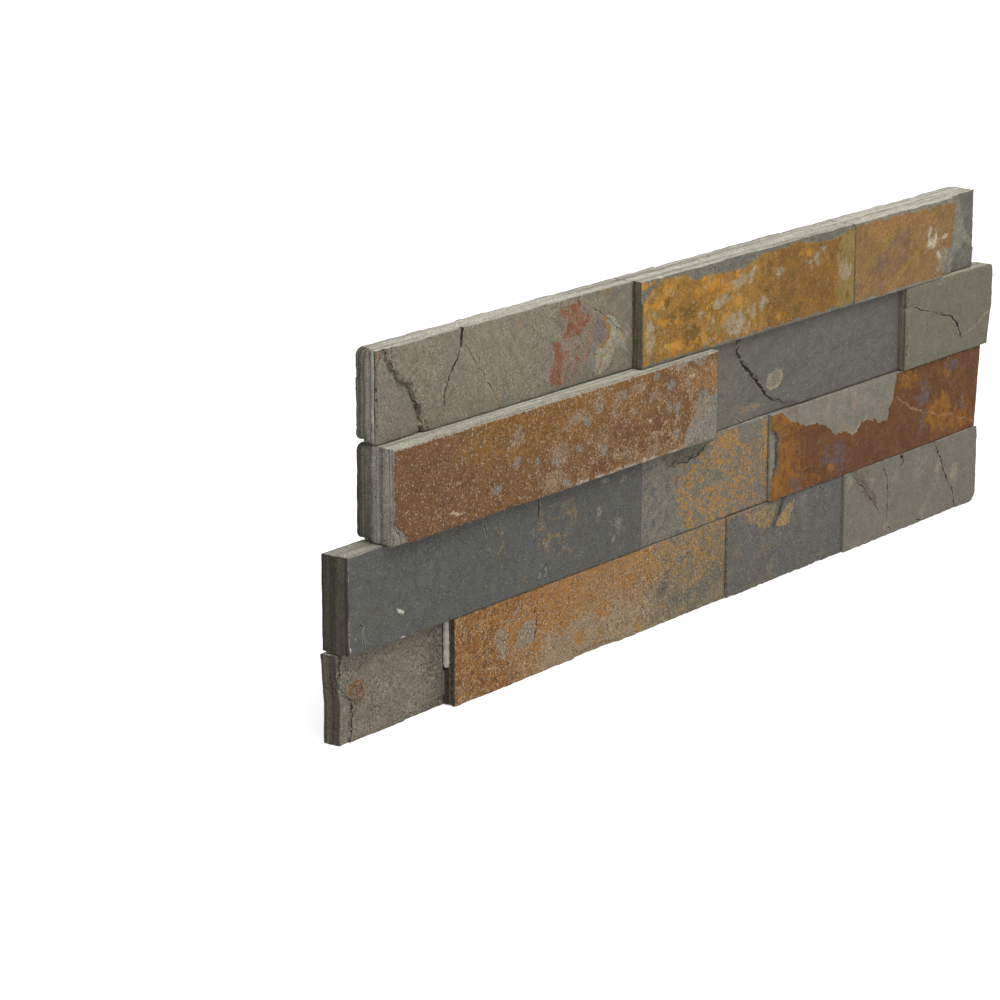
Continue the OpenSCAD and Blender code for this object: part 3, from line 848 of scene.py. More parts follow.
def top_olive():
    f = Face("top_olive_stone", 11, losses(left=FREE, top=0.7),
             [("left", False, 3.4, True), ("left", True, 3.4, True)])
    f.lump(60, 0.7)
    f.cleft(30, 5, 0.5, 40)
    f.grain(3, 0.09)
    f.grain(1.5, 0.06, 32)
    f.cover("dusky", 0.4 * smooth(6, 20, f.x) * smooth(60, 44, f.x) + 0.2 * smooth(80, 100, f.x))
    f.patch("plane", 0.85, [(-3, 40), (5, 40), (8, 30), (15, 21), (20, 17), (24, 8), (26, -3), (-3, -3)], 2)
    scarp = [(6, 40), (6.7, 34), (9.2, 27.7), (14.2, 21.8), (18.3, 20), (21.7, 13.5), (25, 7.7), (27.5, -3)]
    f.scarp(scarp[::-1], 1.6, 12, shade=0.8)
    f.crack(scarp[:3], 0.12, 0.6, 0.2)
    f.crack(scarp[3:], 0.16, 0.6, 0.2)
    f.stroke("shade", 0.55, [(8.5, 36), (11, 28), (16, 22.5), (20.5, 19), (24, 13), (27, 7), (29.5, 0)],
             1.2, 1.4)
    main = [(51.5, 40), (51, 34.3), (50.3, 29.3), (48.3, 25.2), (44.2, 21), (40, 14.3), (39.2, 7.7)]
    f.scarp(main, 0.3, 10, shade=0.4)
    f.crack(main, 0.34, 0.7, 0.2)
    f.crack(main[:5], 0.55, 0.8, 0.2)
    f.crack([(52.4, 42)] + main[:3], 1.1, 1.4, 0.2)
    f.stroke("shade", 0.7, main[2:], 0.7, 1.3)
    f.crack([(52.5, 29.5), (57.5, 23.5), (61.7, 17.7), (65, 13.5), (70, 6.8), (75, -1)], 0.16, 0.4, 0.5)
    f.crack([(57.5, 27.7), (60.3, 24.3), (61.7, 19.5)], 0.12, 0.3, 0.5)
    f.crack([(133, 29.3), (141.7, 25.2), (148.3, 20.2), (155, 15.5)], 0.2, 0.5, 0.5)
    f.crack([(89, 28), (84, 24), (78, 16)], 0.05, 0.2, 0.2)
    f.cover("beige", 0.75 * f.band([(68, 9.5), (72, 4.5), (76, -1)], 1.1, 0.9)
            + 0.4 * f.band([(57, 24), (63, 16)], 0.4, 0.8))
    f.spots("beige", 0.5, [(25, 2.5, 1.8, 3.6)], 0.6)
    f.cover("mottled", 0.75 * smooth(103, 110, f.x) * smooth(158, 150, f.x))
    f.patch("red", 0.9, [(107.5, 19.6), (111.7, 20), (113.3, 14.3), (114.2, 1.6), (105.6, 1.6),
                         (105.8, 6.8), (107.5, 12.7)], 1.0)
    f.patch("red", 0.68, [(112.5, 32.7), (125, 33.7), (126, 30.4), (131.9, 27.5), (131.9, 24.1),
                          (126.7, 20), (118.3, 18.8), (114, 20), (113, 21.8), (116.7, 23.5), (117.5, 26),
                          (113, 29.3)], 1.0)
    f.patch("red", 0.45, [(114, 16), (126, 17), (127, 8), (120, 3), (115, 5)], 2.5)
    f.patch("pink", 0.85, [(132.5, 28), (134.4, 17.7), (130.5, 8), (126.5, 8.5), (130, 17.7)], 1.3)
    f.patch("pink", 0.45, [(112, 24), (118, 21), (117, 3), (112, 3)], 2.5)
    f.patch("bluish", 0.8, [(131.5, 15), (136.7, 14), (136, 2), (131.5, 2)], 1.5)
    f.patch("ash", 0.95, [(141.7, 25.2), (148.3, 23.5), (155.8, 12.7), (156.7, 9.3), (149.2, 10.2),
                          (145, 3.5), (138.3, 1.3), (135, 2.7), (135.8, 11), (140, 12.7), (145, 17.7)], 1.0)
    f.stroke("ochre", 0.95, [(141.7, 24.3), (145, 19.3), (143.3, 14.3), (139.2, 12.7)], 0.6, 1.0)
    f.cover("ochre", 0.8 * f.band([(152.5, 17), (155.4, 13)], 0.8, 0.8)
            + 0.7 * f.band([(137, 3), (141, 9), (148, 11)], 0.3, 0.9))
    f.cover("ochre", 0.6 * f.band([(134.5, 13), (135, 3)], 0.2, 0.9)
            + 0.5 * f.band([(146, 24), (149, 29), (147, 33)], 0.2, 0.9))
    f.cover("dusky", 0.5 * smooth(0.0, 0.6, f.cloud(10, 66, 4, 2.2, 55)) * smooth(20, 30, f.x))
    f.cover("plane", 0.6 * smooth(0.05, 0.6, f.cloud(12, 68, 4, 1.6, 40)) * smooth(24, 34, f.x))
    f.cover("ochre", 0.7 * f.spot(86.3, 31, 1.2, 1.2) + 0.7 * f.spot(143, 35, 2.4, 1.0)
            + 0.6 * f.spot(126, 5.4, 1.6, 0.8))
    f.spots("violet", 0.95, [(138, 19.3, 4.4, 5.3)], 0.2)
    ring = np.abs(np.hypot(f.rx - 124.4, f.rz - 32) - 1.7)
    f.cover("rusty", 0.85 * np.exp(-(ring / 0.7) ** 2))
    f.patch("rusty", 0.75, [(-1, 37), (5, 37), (4, 33.5), (0.6, 30.5), (-1, 30)], 0.7)
    f.crack([(5.6, 38), (4.4, 33.6), (0.4, 30.2)], 0.3, 0.6, 0.3)
    f.crack([(0.7, 31), (0.9, 15), (0.7, 1)], 0.14, 0.4, 0.2)
    f.worn_edges(1.0, 0.3)
    f.spots("rusty", 0.8, [(19, 36.2, 3, 0.7), (46, 36.3, 3, 0.6), (88, 36.2, 2.4, 0.8),
                           (101, 36.3, 4, 0.6)], 0.8)
    veils = [
        ("dusky", (117, 110, 94), (127, 119, 103), 2.4, 0.9),
        ("plane", (127, 122, 107), (123, 117, 103), 3.0, 0.8),
        ("mottled", (138, 126, 108), (116, 107, 95), 3.0, 0.9),
        ("bluish", (118, 117, 109), (128, 124, 112), 1.8, 0.8),
        ("ash", (164, 156, 135), (136, 132, 118), 3.0, 0.6),
        ("beige", (152, 132, 100), (112, 94, 72), 1.2, 0.9),
        ("pink", (143, 116, 96), (126, 106, 90), 1.8, 0.9),
        ("red", (124, 76, 52), (140, 102, 80), 2.4, 0.9),
        ("ochre", (154, 122, 62), (142, 102, 52), 1.4, 0.8),
        ("violet", (113, 104, 97), (120, 111, 103), 1.6, 0.3),
        ("rusty", (112, 68, 42), (150, 130, 108), 0.9, 0.9),
    ]
    ground = ((132, 125, 109), (140, 133, 116), (121, 114, 100))
    end = ((112, 108, 95), (152, 148, 134), 0.46, 0.05, 0.84)
    stone_piece(f, slate(f, ground, veils, end, grain=0.52, relief=0.45, streak=(1.1, 5, 125, 0.12),
                         speck=0.6, mottle=0.05))


def top_gold():
    f = Face("top_gold_stone", 12, losses(top=0.7))
    f.lump(80, 0.6)
    f.cleft(40, 3, 0.35, 15)
    f.grain(2.5, 0.07)
    rim = [(-5, 26), (0, 27), (6.7, 31), (11.7, 33), (16.7, 34.6), (26, 34.4), (31.7, 33.3), (38, 30.8),
           (46, 31.4), (53, 30.8), (63, 30.2), (73, 30.8), (81.7, 33), (91.7, 34.2), (106.7, 34.7),
           (120, 33.7), (131.7, 32.5), (143, 32.5), (151.7, 33.3), (165, 35)]
    bare = f.region(rim + [(165, 50), (-5, 50)], 0.5)
    f.depth += 1.0 * bare
    f.cover("brown", 0.8 * smooth(80, 96, f.rx) * smooth(152, 140, f.rx))
    f.cover("moss", 0.85 * smooth(138, 150, f.rx) + 0.5 * smooth(22, 6, f.rx))
    f.patch("moss", 0.6, [(40, 16), (56, 9), (54, 4), (46, 8), (38, 14)], 2.5)
    f.spots("dark_gold", 1.0, [(27, 18, 9, 3.8, -6), (34, 8.5, 7.5, 4.5, -30), (44, 5, 6, 2, -25),
                               (16, 26, 4, 2, 10)], 0.8)
    f.cover("dark_gold", 0.6 * smooth(0.0, 0.5, f.cloud(8, 77)) * smooth(70, 90, f.x))
    f.cover("bright", 0.6 * smooth(0.05, 0.5, f.cloud(7, 78)) * smooth(110, 60, f.x))
    f.cover("lilac", 0.5 * smooth(0.1, 0.55, f.cloud(5, 79)) * smooth(140, 60, f.x))
    f.spots("dark_gold", 0.62, [(92, 11, 7, 4), (105, 18, 9, 6), (126, 14, 8, 3.4, 8), (104, 30, 10, 2.4),
                                (112, 7, 6, 3), (90, 27, 5, 4), (138, 25, 4, 3)], 0.8)
    f.spots("bright", 0.8, [(48, 27, 9, 3.6, 4), (59, 23, 7, 3, 10), (43, 5, 5, 1.8, -30), (22, 6, 7, 2.6),
                            (67, 17, 4, 3, 20), (12, 27, 8, 2.6, 25), (14, 17, 4, 2.4)], 0.8)
    f.spots("bright", 0.5, [(78, 29, 5, 2, 20), (60, 10, 8, 5), (34, 27, 8, 4), (120, 29, 6, 2.4),
                            (100, 5, 6, 2)], 0.8)
    f.spots("lilac", 0.78, [(4.6, 13, 3.4, 8), (55, 19, 8.5, 2.6, 8), (69, 25, 7, 3, 22),
                            (78, 27, 2.2, 5, -35), (66, 8, 9, 5.4), (86, 13, 3.6, 3), (150, 17, 5, 4.6)],
            0.6)
    f.spots("lilac", 0.5, [(129, 26, 8, 4.6, 15), (98, 25, 4, 3), (76, 10, 6, 6), (40, 16, 4, 2),
                           (136, 14, 3, 2)], 0.7)
    f.cover("grey", bare)
    # A grey strip along the bevelled bottom edge: partly the bare grey stone, partly painted shade on the
    # bevel
    f.cover("grey", 0.9 * smooth(1.8, 0.8, f.rz))
    tip = f.region([(-2, 35.6), (-2, 32.6), (8, 34), (12, 35.4)])
    f.cover("bright", bare * tip)
    f.uncover("grey", tip)
    f.worn_edges(0.9, 0.3)
    f.cover("dark_gold", 0.5 * smooth(0.1, 0.5, f.cloud(4, 80)) * smooth(150, 20, f.x))
    veils = [
        ("brown", (138, 98, 40), (122, 86, 36), 5.0, 0.9),
        ("moss", (142, 120, 70), (126, 108, 60), 4.0, 0.9),
        ("dark_gold", (104, 76, 30), (120, 88, 36), 4.0, 0.75),
        ("bright", (180, 118, 34), (182, 138, 56), 4.0, 0.9),
        ("lilac", (163, 150, 126), (152, 134, 100), 3.2, 0.9),
        ("grey", (118, 115, 102), (104, 101, 90), 2.4, 0.35),
    ]
    ground = ((158, 118, 54), (150, 106, 40), (128, 96, 44))
    end = ((98, 93, 75), (102, 97, 78), 0.5, 0.3)
    stone_piece(f, slate(f, ground, veils, end, roughness=0.72, grain=0.5, relief=0.36, soft=0.2,
                         speck=0.7, mottle=0.12))


def top_amber():
    f = Face("top_amber_stone", 13, losses(right=FREE, top=0.7))
    f.lump(60, 0.4)
    f.grain(2.5, 0.07)
    f.cleft(26, 3, 0.3, 35)
    end_line = [(84.5, 50), (82.6, 36), (82.8, 24), (81, 14), (76.5, 8), (73, -4)]
    bare = f.region(end_line + [(140, -4), (140, 50)], 0.45)
    f.depth += 2.6 * bare
    ridge = [(89, 36), (93, 27), (98, 16), (104, 9), (112, 4)]
    beyond = f.region([(89, 50)] + ridge + [(140, 4), (140, 50)], 0.6)
    f.depth += 0.7 * beyond
    f.cover("dusk", beyond)
    low = f.region([(84, -3), (88, 8), (97, 13), (106, 6), (108, -3)], 0.7)
    f.depth += 0.4 * low
    f.cover("dusk", 0.8 * low)
    f.stroke("pale", 0.5, ridge[:4], 0.3, 0.8)
    strip = f.region([(-5, 35), (20, 34.8), (50, 34.0), (83, 33.6), (83, 50), (-5, 50)], 0.4)
    f.depth += 0.9 * strip
    streak = f.cloud(5, 71, 4, 3.4, 31)
    f.cover("violet", 0.8 * smooth(-0.3, 0.4, streak)
            * f.region([(0, 1), (24, 1), (56, 27), (44, 33), (20, 22), (0, 13)], 3))
    f.patch("violet", 0.5, [(14, 1), (40, 4), (50, 14), (30, 14)], 3)
    f.stroke("moss", 0.8, [(1, 11), (17, 20), (31, 28)], 1.6, 2.0)
    f.stroke("moss", 0.8, [(27, 3), (42, 10), (57, 18)], 2.4, 2.2)
    f.patch("bright", 0.62, [(2, 29), (20, 25), (46, 29), (60, 33), (4, 36)], 3)
    f.cover("bright", 0.5 * f.spot(62, 29, 8, 4, 0, 0.6) + 0.45 * f.spot(46, 22, 8, 3, 30, 0.6))
    f.cover("umber", 0.75 * f.spot(75, 24, 6, 8, 0, 0.6) + 0.5 * f.spot(68, 31, 8, 3, 0, 0.6))
    f.patch("ash", 0.85, [(67, 3), (69, 12), (74, 14), (80, 12), (82, 6), (78, 2)], 2.0)
    f.spots("ash", 0.5, [(64, 20, 8, 5, -20)], 0.8)
    f.spots("pale", 0.85, [(63, 17.4, 4.6, 2.4, 5), (61.5, 22.5, 0.8, 3.4, -12), (66.5, 21, 0.8, 2.6, 20),
                           (74, 19, 2.6, 1.2, 30), (70, 11, 3, 1.2, -40)], 0.7)
    f.cover("grey", np.maximum(bare, strip))
    f.cover("grey", 0.9 * smooth(1.6, 0.7, f.rz))
    f.uncover("grey", 0.8 * beyond)
    f.worn_edges(0.9, 0.3)
    veils = [
        ("violet", (126, 100, 76), (118, 94, 78), 2.6, 0.9),
        ("moss", (148, 122, 62), (136, 108, 52), 3.0, 0.9),
        ("bright", (158, 112, 62), (152, 118, 68), 3.0, 0.9),
        ("umber", (126, 98, 62), (140, 110, 66), 2.4, 0.9),
        ("ash", (134, 126, 108), (144, 134, 114), 2.0, 0.9),
        ("grey", (132, 129, 117), (121, 118, 106), 3.0, 0.3),
        ("dusk", (112, 109, 98), (102, 99, 89), 3.0, 0.3),
        ("pale", (190, 178, 158), (164, 152, 130), 1.1, 0.9),
    ]
    ground = ((146, 112, 68), (138, 106, 64), (128, 98, 64))
    stone_piece(f, slate(f, ground, veils, roughness=0.78, grain=0.44, relief=0.3,
                         streak=(1.4, 4, 33, 0.14), soft=0.2, speck=0.5, mottle=0.1))


def upper_rust():
    f = Face("upper_rust_stone", 21, losses(left=0.6),
             [("left", False, 3, True), ("left", True, 2.6, True)])
    f.lump(90, 0.5)
    f.cleft(46, 3, 0.3, 10)
    f.grain(2.2, 0.08)
    f.grain(1.3, 0.04, 32)
    corner = [(-3, 8), (1, 8), (5, 5.5), (8, 2), (8, -3), (-3, -3)]
    f.flake(corner, 1.0)
    f.flake([(68, -3), (69, 1.2), (75, 1.2), (76, -3)], 1.0)
    f.cover("maroon", 0.9 * smooth(66, 10, f.x + 10 * f.cloud(24, 61) + 0.5 * (f.z - 18)))
    f.cover("golden", 0.75 * smooth(24, 60, f.x) * smooth(10, 26, f.z + 5 * f.cloud(16, 66))
            * smooth(200, 140, f.x))
    f.cover("deep", 0.6 * smooth(0.0, 0.6, f.cloud(14, 67)) * smooth(16, 6, f.z + 4 * f.cloud(9, 68)))
    f.spots("deep", 0.8, [(160, 7, 6, 3.4), (130, 5, 8, 2.4), (170, 16, 8, 5, 20), (145, 20, 5, 3),
                          (176, 8, 4, 4)])
    dust = smooth(-0.1, 0.7, f.cloud(9, 62)) * smooth(60, 130, f.x + 20 * f.cloud(30, 63))
    f.cover("pinkish", 0.72 * dust)
    f.spots("pinkish", 0.8, [(74.5, 27, 6, 3.4, 15), (74, 16, 2.4, 2.6), (60.5, 9, 2.2, 1.8),
                             (88, 9.5, 2, 2.6), (101.7, 16, 6, 5), (97, 5, 8, 4.4), (112, 27, 8, 3, 10),
                             (154, 32, 6, 3), (166, 10, 3, 2), (140, 30, 4, 4)], 0.7)
    f.spots("grey", 0.82, [(128, 30, 3.6, 3.8), (144.5, 31.5, 2.4, 2.6), (131, 12, 3, 2.6, 10),
                           (176.7, 29, 2.8, 2.8), (175.6, 20, 2, 4), (181.7, 18.5, 2.8, 3.8),
                           (181, 7, 3, 3.4), (106, 1.8, 4, 1.8), (80, 36.6, 3, 0.8)], 0.8)
    f.cover("grey", f.region([(184, -3), (187, 3), (189.2, 8.3), (194.2, 13.3), (197.5, 20.8),
                              (200.8, 22.5), (205, 20), (214, 20.5), (214, -3)], 1.0))
    f.patch("grey", 0.9, [(178, 42), (181, 34.6), (190, 36), (198, 33.6), (202, 36), (203, 42)], 0.8)
    f.cover("grey", f.region(corner, 0.6))
    f.crack([(1, 6.6), (4, 4.2), (5.5, -1)], 0.22, 0.4)
    f.patch("orange", 0.75, [(184, 33), (212, 34), (212, 20), (200, 22), (188, 24)], 3)
    f.spots("pale", 0.75, [(20, 20, 0.8, 0.5), (39, 17, 0.6, 0.8), (61, 24, 0.35, 2.6),
                           (47, 36, 1.6, 0.4, -20), (192, 30, 2.6, 1.0, -20), (176, 36, 2, 0.5, -20),
                           (163, 17, 1.4, 1.4), (36, 5.4, 5, 0.7, -6), (5, 23, 0.8, 0.5),
                           (31, 33, 0.7, 0.4), (54, 5, 0.6, 0.6), (110, 12, 0.5, 0.7), (90, 30, 0.7, 0.4),
                           (120, 20, 0.6, 0.5), (150, 24, 0.6, 0.6)], 0.9)
    f.worn_edges(1.1, 0.36)
    lower_chips = smooth(2.2, 0.4, f.z + 0.7 * f.cloud(4, 64)) * smooth(104, 112, f.x) * smooth(192, 182,
                                                                                                f.x)
    f.cover("chip", lower_chips * smooth(-0.35, 0.3, f.cloud(8, 65)))
    f.cover("chip", 0.8 * smooth(1.0, 0.2, f.height - f.z))
    clumps = smooth(-0.4, 0.4, f.cloud(10, 69))
    f.cover("fleck", 0.2 + 0.16 * clumps)
    f.cover("speck", 0.18 + (0.08 + 0.22 * smooth(60, 140, f.x)) * clumps)
    f.spots("grey", 0.8, [(63, 9.4, 2.4, 1.6, 30), (88, 15, 1.4, 2.2), (100, 12, 1.6, 3, 20),
                          (115, 14, 2.4, 1.6), (75, 18, 3.2, 1.6, 20), (119, 25, 1.6, 3, 30),
                          (137, 24, 1.6, 2.2), (152, 23, 2, 1.4, 40), (163, 26, 1.4, 2.4),
                          (167, 34, 2, 1.4), (147, 6, 2.2, 1.4), (189, 28, 1.6, 2)], 0.9)
    veils = [
        ("golden", (134, 94, 42), (120, 83, 38), 2.4, 0.9),
        ("maroon", (106, 74, 50), (112, 78, 50), 3.4, 0.9),
        ("deep", (112, 72, 46), (100, 68, 46), 2.4, 0.9),
        ("pinkish", (148, 126, 104), (134, 110, 84), 1.6, 0.9),
        ("orange", (150, 108, 62), (134, 100, 62), 1.4, 0.9),
        ("grey", (118, 116, 109), (134, 130, 119), 1.1, 0.8),
        ("fleck", (90, 65, 46), (100, 72, 48), 1.1, 0.8),
        ("speck", (172, 146, 112), (144, 110, 70), 1.0, 0.78),
        ("pale", (190, 172, 146), (164, 144, 116), 0.8, 0.8),
    ]
    ground = ((126, 90, 50), (118, 82, 46), (102, 74, 46))
    end = ((82, 79, 70), (138, 134, 123), 0.3, 0.26)
    stone_piece(f, slate(f, ground, veils, end, roughness=0.78, grain=0.58, relief=0.44, speck=1.2,
                         mottle=0.12))


def upper_grey():
    f = Face("upper_grey_stone", 22, losses())
    f.lump(80, 0.5)
    f.cleft(36, 4, 0.4, 25)
    f.grain(2.6, 0.06)
    crack = [(25, 41), (24.2, 36), (23.3, 30.8), (27.5, 26.7), (34.2, 20), (39.2, 15.8), (45, 9.2),
             (50.8, 5.5), (57, 3.8)]
    f.scarp(crack[::-1], 0.9, 14)
    f.crack(crack, 0.32, 0.6)
    f.crack(crack[2:8], 0.5, 0.9)
    f.crack(crack[3:7], 0.62, 1.1)
    f.stroke("shade", 0.7, crack[2:7], 0.5, 1.3)
    f.crack([(19, 6), (24, 2.5), (28, -1)], 0.18, 0.5)
    f.crack([(60.8, 27.5), (62.5, 24)], 0.14, 0.3)
    f.crack([(65.8, 11.5), (69, 9.5)], 0.12, 0.3)
    shell = f.region([(45.6, 14), (48, 17.6), (57, 18.6), (58, 15), (55.5, 11), (51, 10.2), (47.6, 11.4)],
                     0.7)
    f.depth += 0.4 * shell
    f.cover("shell", 0.85 * shell)
    f.stroke("shell_rim", 0.95, [(46.6, 12), (50, 10.6), (54.5, 11.2), (57.4, 15), (57.4, 18)], 0.6, 0.6)
    f.crack([(46, 17.4), (50, 18), (57, 18.4)], 0.14, 0.2, 1.0)
    f.crack([(47, 15.4), (52, 16.4)], 0.1, 0.2, 1.0)
    for points in [[(53, 4.2), (70, 5.8), (85, 14.2), (98, 22.5), (114, 29.5)],
                   [(91.7, 18.3), (98.3, 9.2)], [(128, 4), (142, 7), (150, 5)]]:
        f.cover("vein", 0.6 * f.band(points, 0.2, 0.8) * (0.75 + 0.5 * f.cloud(7, 61)))
    f.cover("tan", 0.62 * f.band([(27, 4), (34, 6.4), (44, 5)], 0.9, 1.2)
            + 0.4 * f.spot(32, 4, 8, 2.4, 5, 0.7))
    f.cover("warm", 0.7 * smooth(60, 10, f.x + 8 * f.cloud(20, 64)))
    f.blotches("smoke", 0.6, -0.2, 0.6, 12, 62, 4, 1.8, 20)
    f.worn_edges(0.9, 0.27)
    veils = [
        ("warm", (110, 106, 95), (114, 108, 97), 3.0, 0.9),
        ("smoke", (96, 94, 87), (100, 98, 90), 2.6, 0.9),
        ("vein", (124, 120, 107), (116, 112, 101), 1.0, 0.9),
        ("tan", (134, 119, 95), (124, 112, 92), 1.4, 0.9),
        ("shell", (124, 118, 104), (136, 128, 110), 1.2, 0.6),
        ("shell_rim", (160, 146, 118), (146, 132, 106), 1.2, 0.7),
    ]
    ground = ((103, 101, 93), (107, 105, 96), (98, 96, 88))
    stone_piece(f, slate(f, ground, veils, grain=0.34, relief=0.34, streak=(1.6, 5, 20, 0.07), mottle=0.06,
                         speck=0.5))


def upper_olive():
    f = Face("upper_olive_stone", 23, losses(right=0.5), [("right", True, 2.4, False)],
             {"right": [(0, 3.4), (15, 1.4), (18, 0.3), (30, 0.2), (38, 0.5)]})
    f.lump(60, 0.5)
    f.cleft(30, 3, 0.4, 15)
    f.grain(2.4, 0.06)
    crack = [(0.6, 29), (6, 28.3), (18.5, 24.2), (30.2, 20.8), (40.2, 18), (44.3, 14.2), (48, 8)]
    f.scarp(crack[::-1], 0.5, 9, shade=0.3)
    f.crack(crack, 0.2, 0.6)
    f.crack(crack[3:], 0.55, 1.0)
    # Painted shade in a pit at the left end and in the groove along the left edge
    f.spots("dark", 0.5, [(0.8, 28.8, 1.2, 1.0)], 0.4)
    f.stroke("dark", 0.6, [(0.8, 38), (1.6, 26), (0.8, 12), (0.8, 0)], 0.3, 0.6)
    f.depth += 1.0 * f.spot(1.2, 28.8, 1.8, 1.1)
    f.stroke("beige", 0.55, [(2.4, 38), (2.6, 24), (2.0, 10), (2.2, 0)], 0.5, 0.9)
    f.stroke("beige", 0.75, [(53.5, 8.3), (63.5, 11.7), (74, 15.8)], 0.25, 0.8)
    f.cover("beige", 0.6 * f.spot(27.3, 35, 2.2, 0.9, 0, 0.7)
            + 0.3 * f.band([(0, 36.4), (70, 36.4)], 0.8, 1.0))
    f.cover("smoke", 0.55 * smooth(-0.1, 0.6, f.cloud(11, 62))
            + 0.3 * smooth(40, 0, f.x) * smooth(26, 10, f.z))
    f.worn_edges(1.2, 0.42)
    veils = [
        ("smoke", (110, 107, 91), (120, 116, 100), 2.6, 0.9),
        ("beige", (146, 138, 115), (132, 126, 106), 1.1, 0.9),
    ]
    ground = ((115, 111, 95), (120, 116, 99), (109, 105, 91))
    end = ((108, 103, 88), (112, 107, 91), 0.5, 0.3)
    stone_piece(f, slate(f, ground, veils, end, grain=0.3, relief=0.3,
                         top_dust_and_light=((150, 143, 124), (192, 184, 164)), mottle=0.06, speck=0.5))


def lower_dark():
    f = Face("lower_dark_stone", 31, losses(left=0.35))
    f.lump(90, 0.5)
    f.cleft(48, 3, 0.35, 10)
    f.grain(2.4, 0.05)
    f.crack([(6.9, 19.2), (5, 17), (3.6, 15)], 0.16, 0.4)
    f.crack([(5.3, 13.6), (7.8, 9.2), (8.6, 5), (9, -1)], 0.2, 0.5)
    f.crack([(81, 39), (82, 30.8), (82.8, 27.5), (82.3, 25), (85.3, 21.7), (90, 18)], 0.18, 0.5)
    f.crack([(115.6, 42), (115.6, 28.3)], 0.5, 0.8)
    f.crack([(116.6, 28), (120, 24)], 0.16, 0.4)
    f.crack([(111.8, 26), (113, 20)], 0.12, 0.3)
    f.crack([(131.6, 11.4), (135, 14.8)], 0.16, 0.4)
    f.crack([(166, 18), (165.2, 13)], 0.2, 0.4)
    rust_lines = [[(88, 31), (93.3, 28), (93.5, 22.5), (90.3, 19.2), (92.3, 14.5)],
                  [(137.4, 32), (139.8, 23)], [(112, 24), (118, 23), (123, 19), (121, 14)],
                  [(122, 27), (128, 25), (133, 31), (138, 32)], [(126, 9), (131, 12), (137, 11)],
                  [(101, 3), (108, 5)], [(119, 18), (126, 20), (134, 17)]]
    for points in rust_lines:
        f.cover("rust", 0.72 * f.band(points, 0.5, 1.4) * (0.85 + 0.5 * f.cloud(4, 61)))
    f.cover("rust", 0.56 * f.region([(111, 26), (117, 32), (140, 34), (141, 22), (131, 13), (124, 8),
                                     (116, 12)], 5) * smooth(-0.4, 0.5, f.cloud(5, 62)))
    f.cover("rust", 0.4 * f.region([(60, 40), (182, 40), (182, 33), (90, 33)], 4)
            * smooth(0, 0.6, f.cloud(5, 66)))
    ring = np.abs(np.hypot(f.rx - 118.2, f.rz - 6) - 2.4)
    f.cover("pale", 0.85 * np.exp(-(ring / 0.9) ** 2) * smooth(-0.5, 0.2, f.cloud(3, 63)))
    f.spots("pale", 0.62, [(156, 20.8, 2.6, 3.2), (169.4, 13.3, 3.6, 3.6), (166.1, 8.7, 1.5, 1.8),
                           (158.6, 33.7, 3.6, 1.6), (172.6, 32.5, 2.4, 1.8), (120.3, 16.7, 1.8, 2.4)], 0.5)
    f.cover("white", 0.95 * f.spot(30.6, 10.5, 2.2, 0.7, -15, 0.4)
            + 0.9 * f.spot(31.6, 0.6, 1.8, 0.6, 0, 0.5))
    f.spots("white", 0.8, [(19, 28.5, 0.4, 0.4), (46, 25.5, 0.35, 0.35), (42, 5, 0.35, 0.35),
                           (0.8, 9, 0.5, 0.9), (3, 5, 0.4, 0.5), (1.2, 2.4, 0.6, 1), (107, 14, 0.3, 0.4)],
            0.8)
    f.cover("warm", 0.6 * f.spot(14, 13.5, 9, 4.4, 0, 0.7) + 0.4 * f.spot(88, 26, 6, 5, 0, 0.7))
    f.cover("warm", 0.5 * smooth(90, 150, f.x + 12 * f.cloud(20, 65)))
    f.blotches("blue", 0.6, -0.2, 0.5, 14, 64)
    f.depth += 0.4 * f.spot(169.4, 13.3, 3.6, 3.6, 0, 0.2) + 0.3 * f.spot(156, 20.8, 2.6, 3.2, 0, 0.2)
    f.worn_edges(0.9, 0.27)
    veils = [
        ("blue", (88, 89, 87), (92, 93, 90), 3.0, 0.9),
        ("warm", (97, 94, 88), (91, 90, 86), 2.4, 0.9),
        ("rust", (138, 114, 82), (112, 100, 82), 1.5, 0.9),
        ("pale", (134, 130, 118), (114, 111, 103), 1.6, 0.8),
        ("white", (212, 208, 196), (178, 174, 162), 0.8, 0.5),
    ]
    ground = ((91, 91, 87), (95, 95, 90), (86, 86, 83))
    end = ((70, 66, 55), (82, 77, 65), 0.5, 0.4)
    stone_piece(f, slate(f, ground, veils, end, grain=0.52, relief=0.42,
                         top_dust_and_light=((152, 148, 133), (184, 180, 165)), mottle=0.08, speck=0.5))


def gold_rings(f, spacing, salt):
    "Small gold rings and crescents on a jittered grid, as rust blooms on slate."
    x = f.x + 0.5 * f.cloud(2.2, 905, 3)
    z = f.z + 0.5 * f.cloud(2.2, 906, 3)
    cell_x = np.floor(x / spacing)
    cell_z = np.floor(z / spacing)
    best = np.zeros(f.x.shape)
    for dx in (-1, 0, 1):
        for dz in (-1, 0, 1):
            cx = cell_x + dx
            cz = cell_z + dz
            jx = 0.5 + 0.7 * gradient_noise(cx * 7.31 + 0.5, cz * 3.17 + 0.5, salt)
            jz = 0.5 + 0.7 * gradient_noise(cx * 5.77 + 0.5, cz * 9.43 + 0.5, salt + 1)
            size = spacing * (0.34 + 0.3 * gradient_noise(cx * 2.93 + 0.5, cz * 6.11 + 0.5, salt + 2))
            there = gradient_noise(cx * 3.37 + 0.5, cz * 8.19 + 0.5, salt + 3) > -0.3
            away = np.hypot(x - (cx + jx) * spacing, z - (cz + jz) * spacing)
            best = np.maximum(best, there * np.exp(-((away - size) / (0.15 * spacing)) ** 2))
    return best


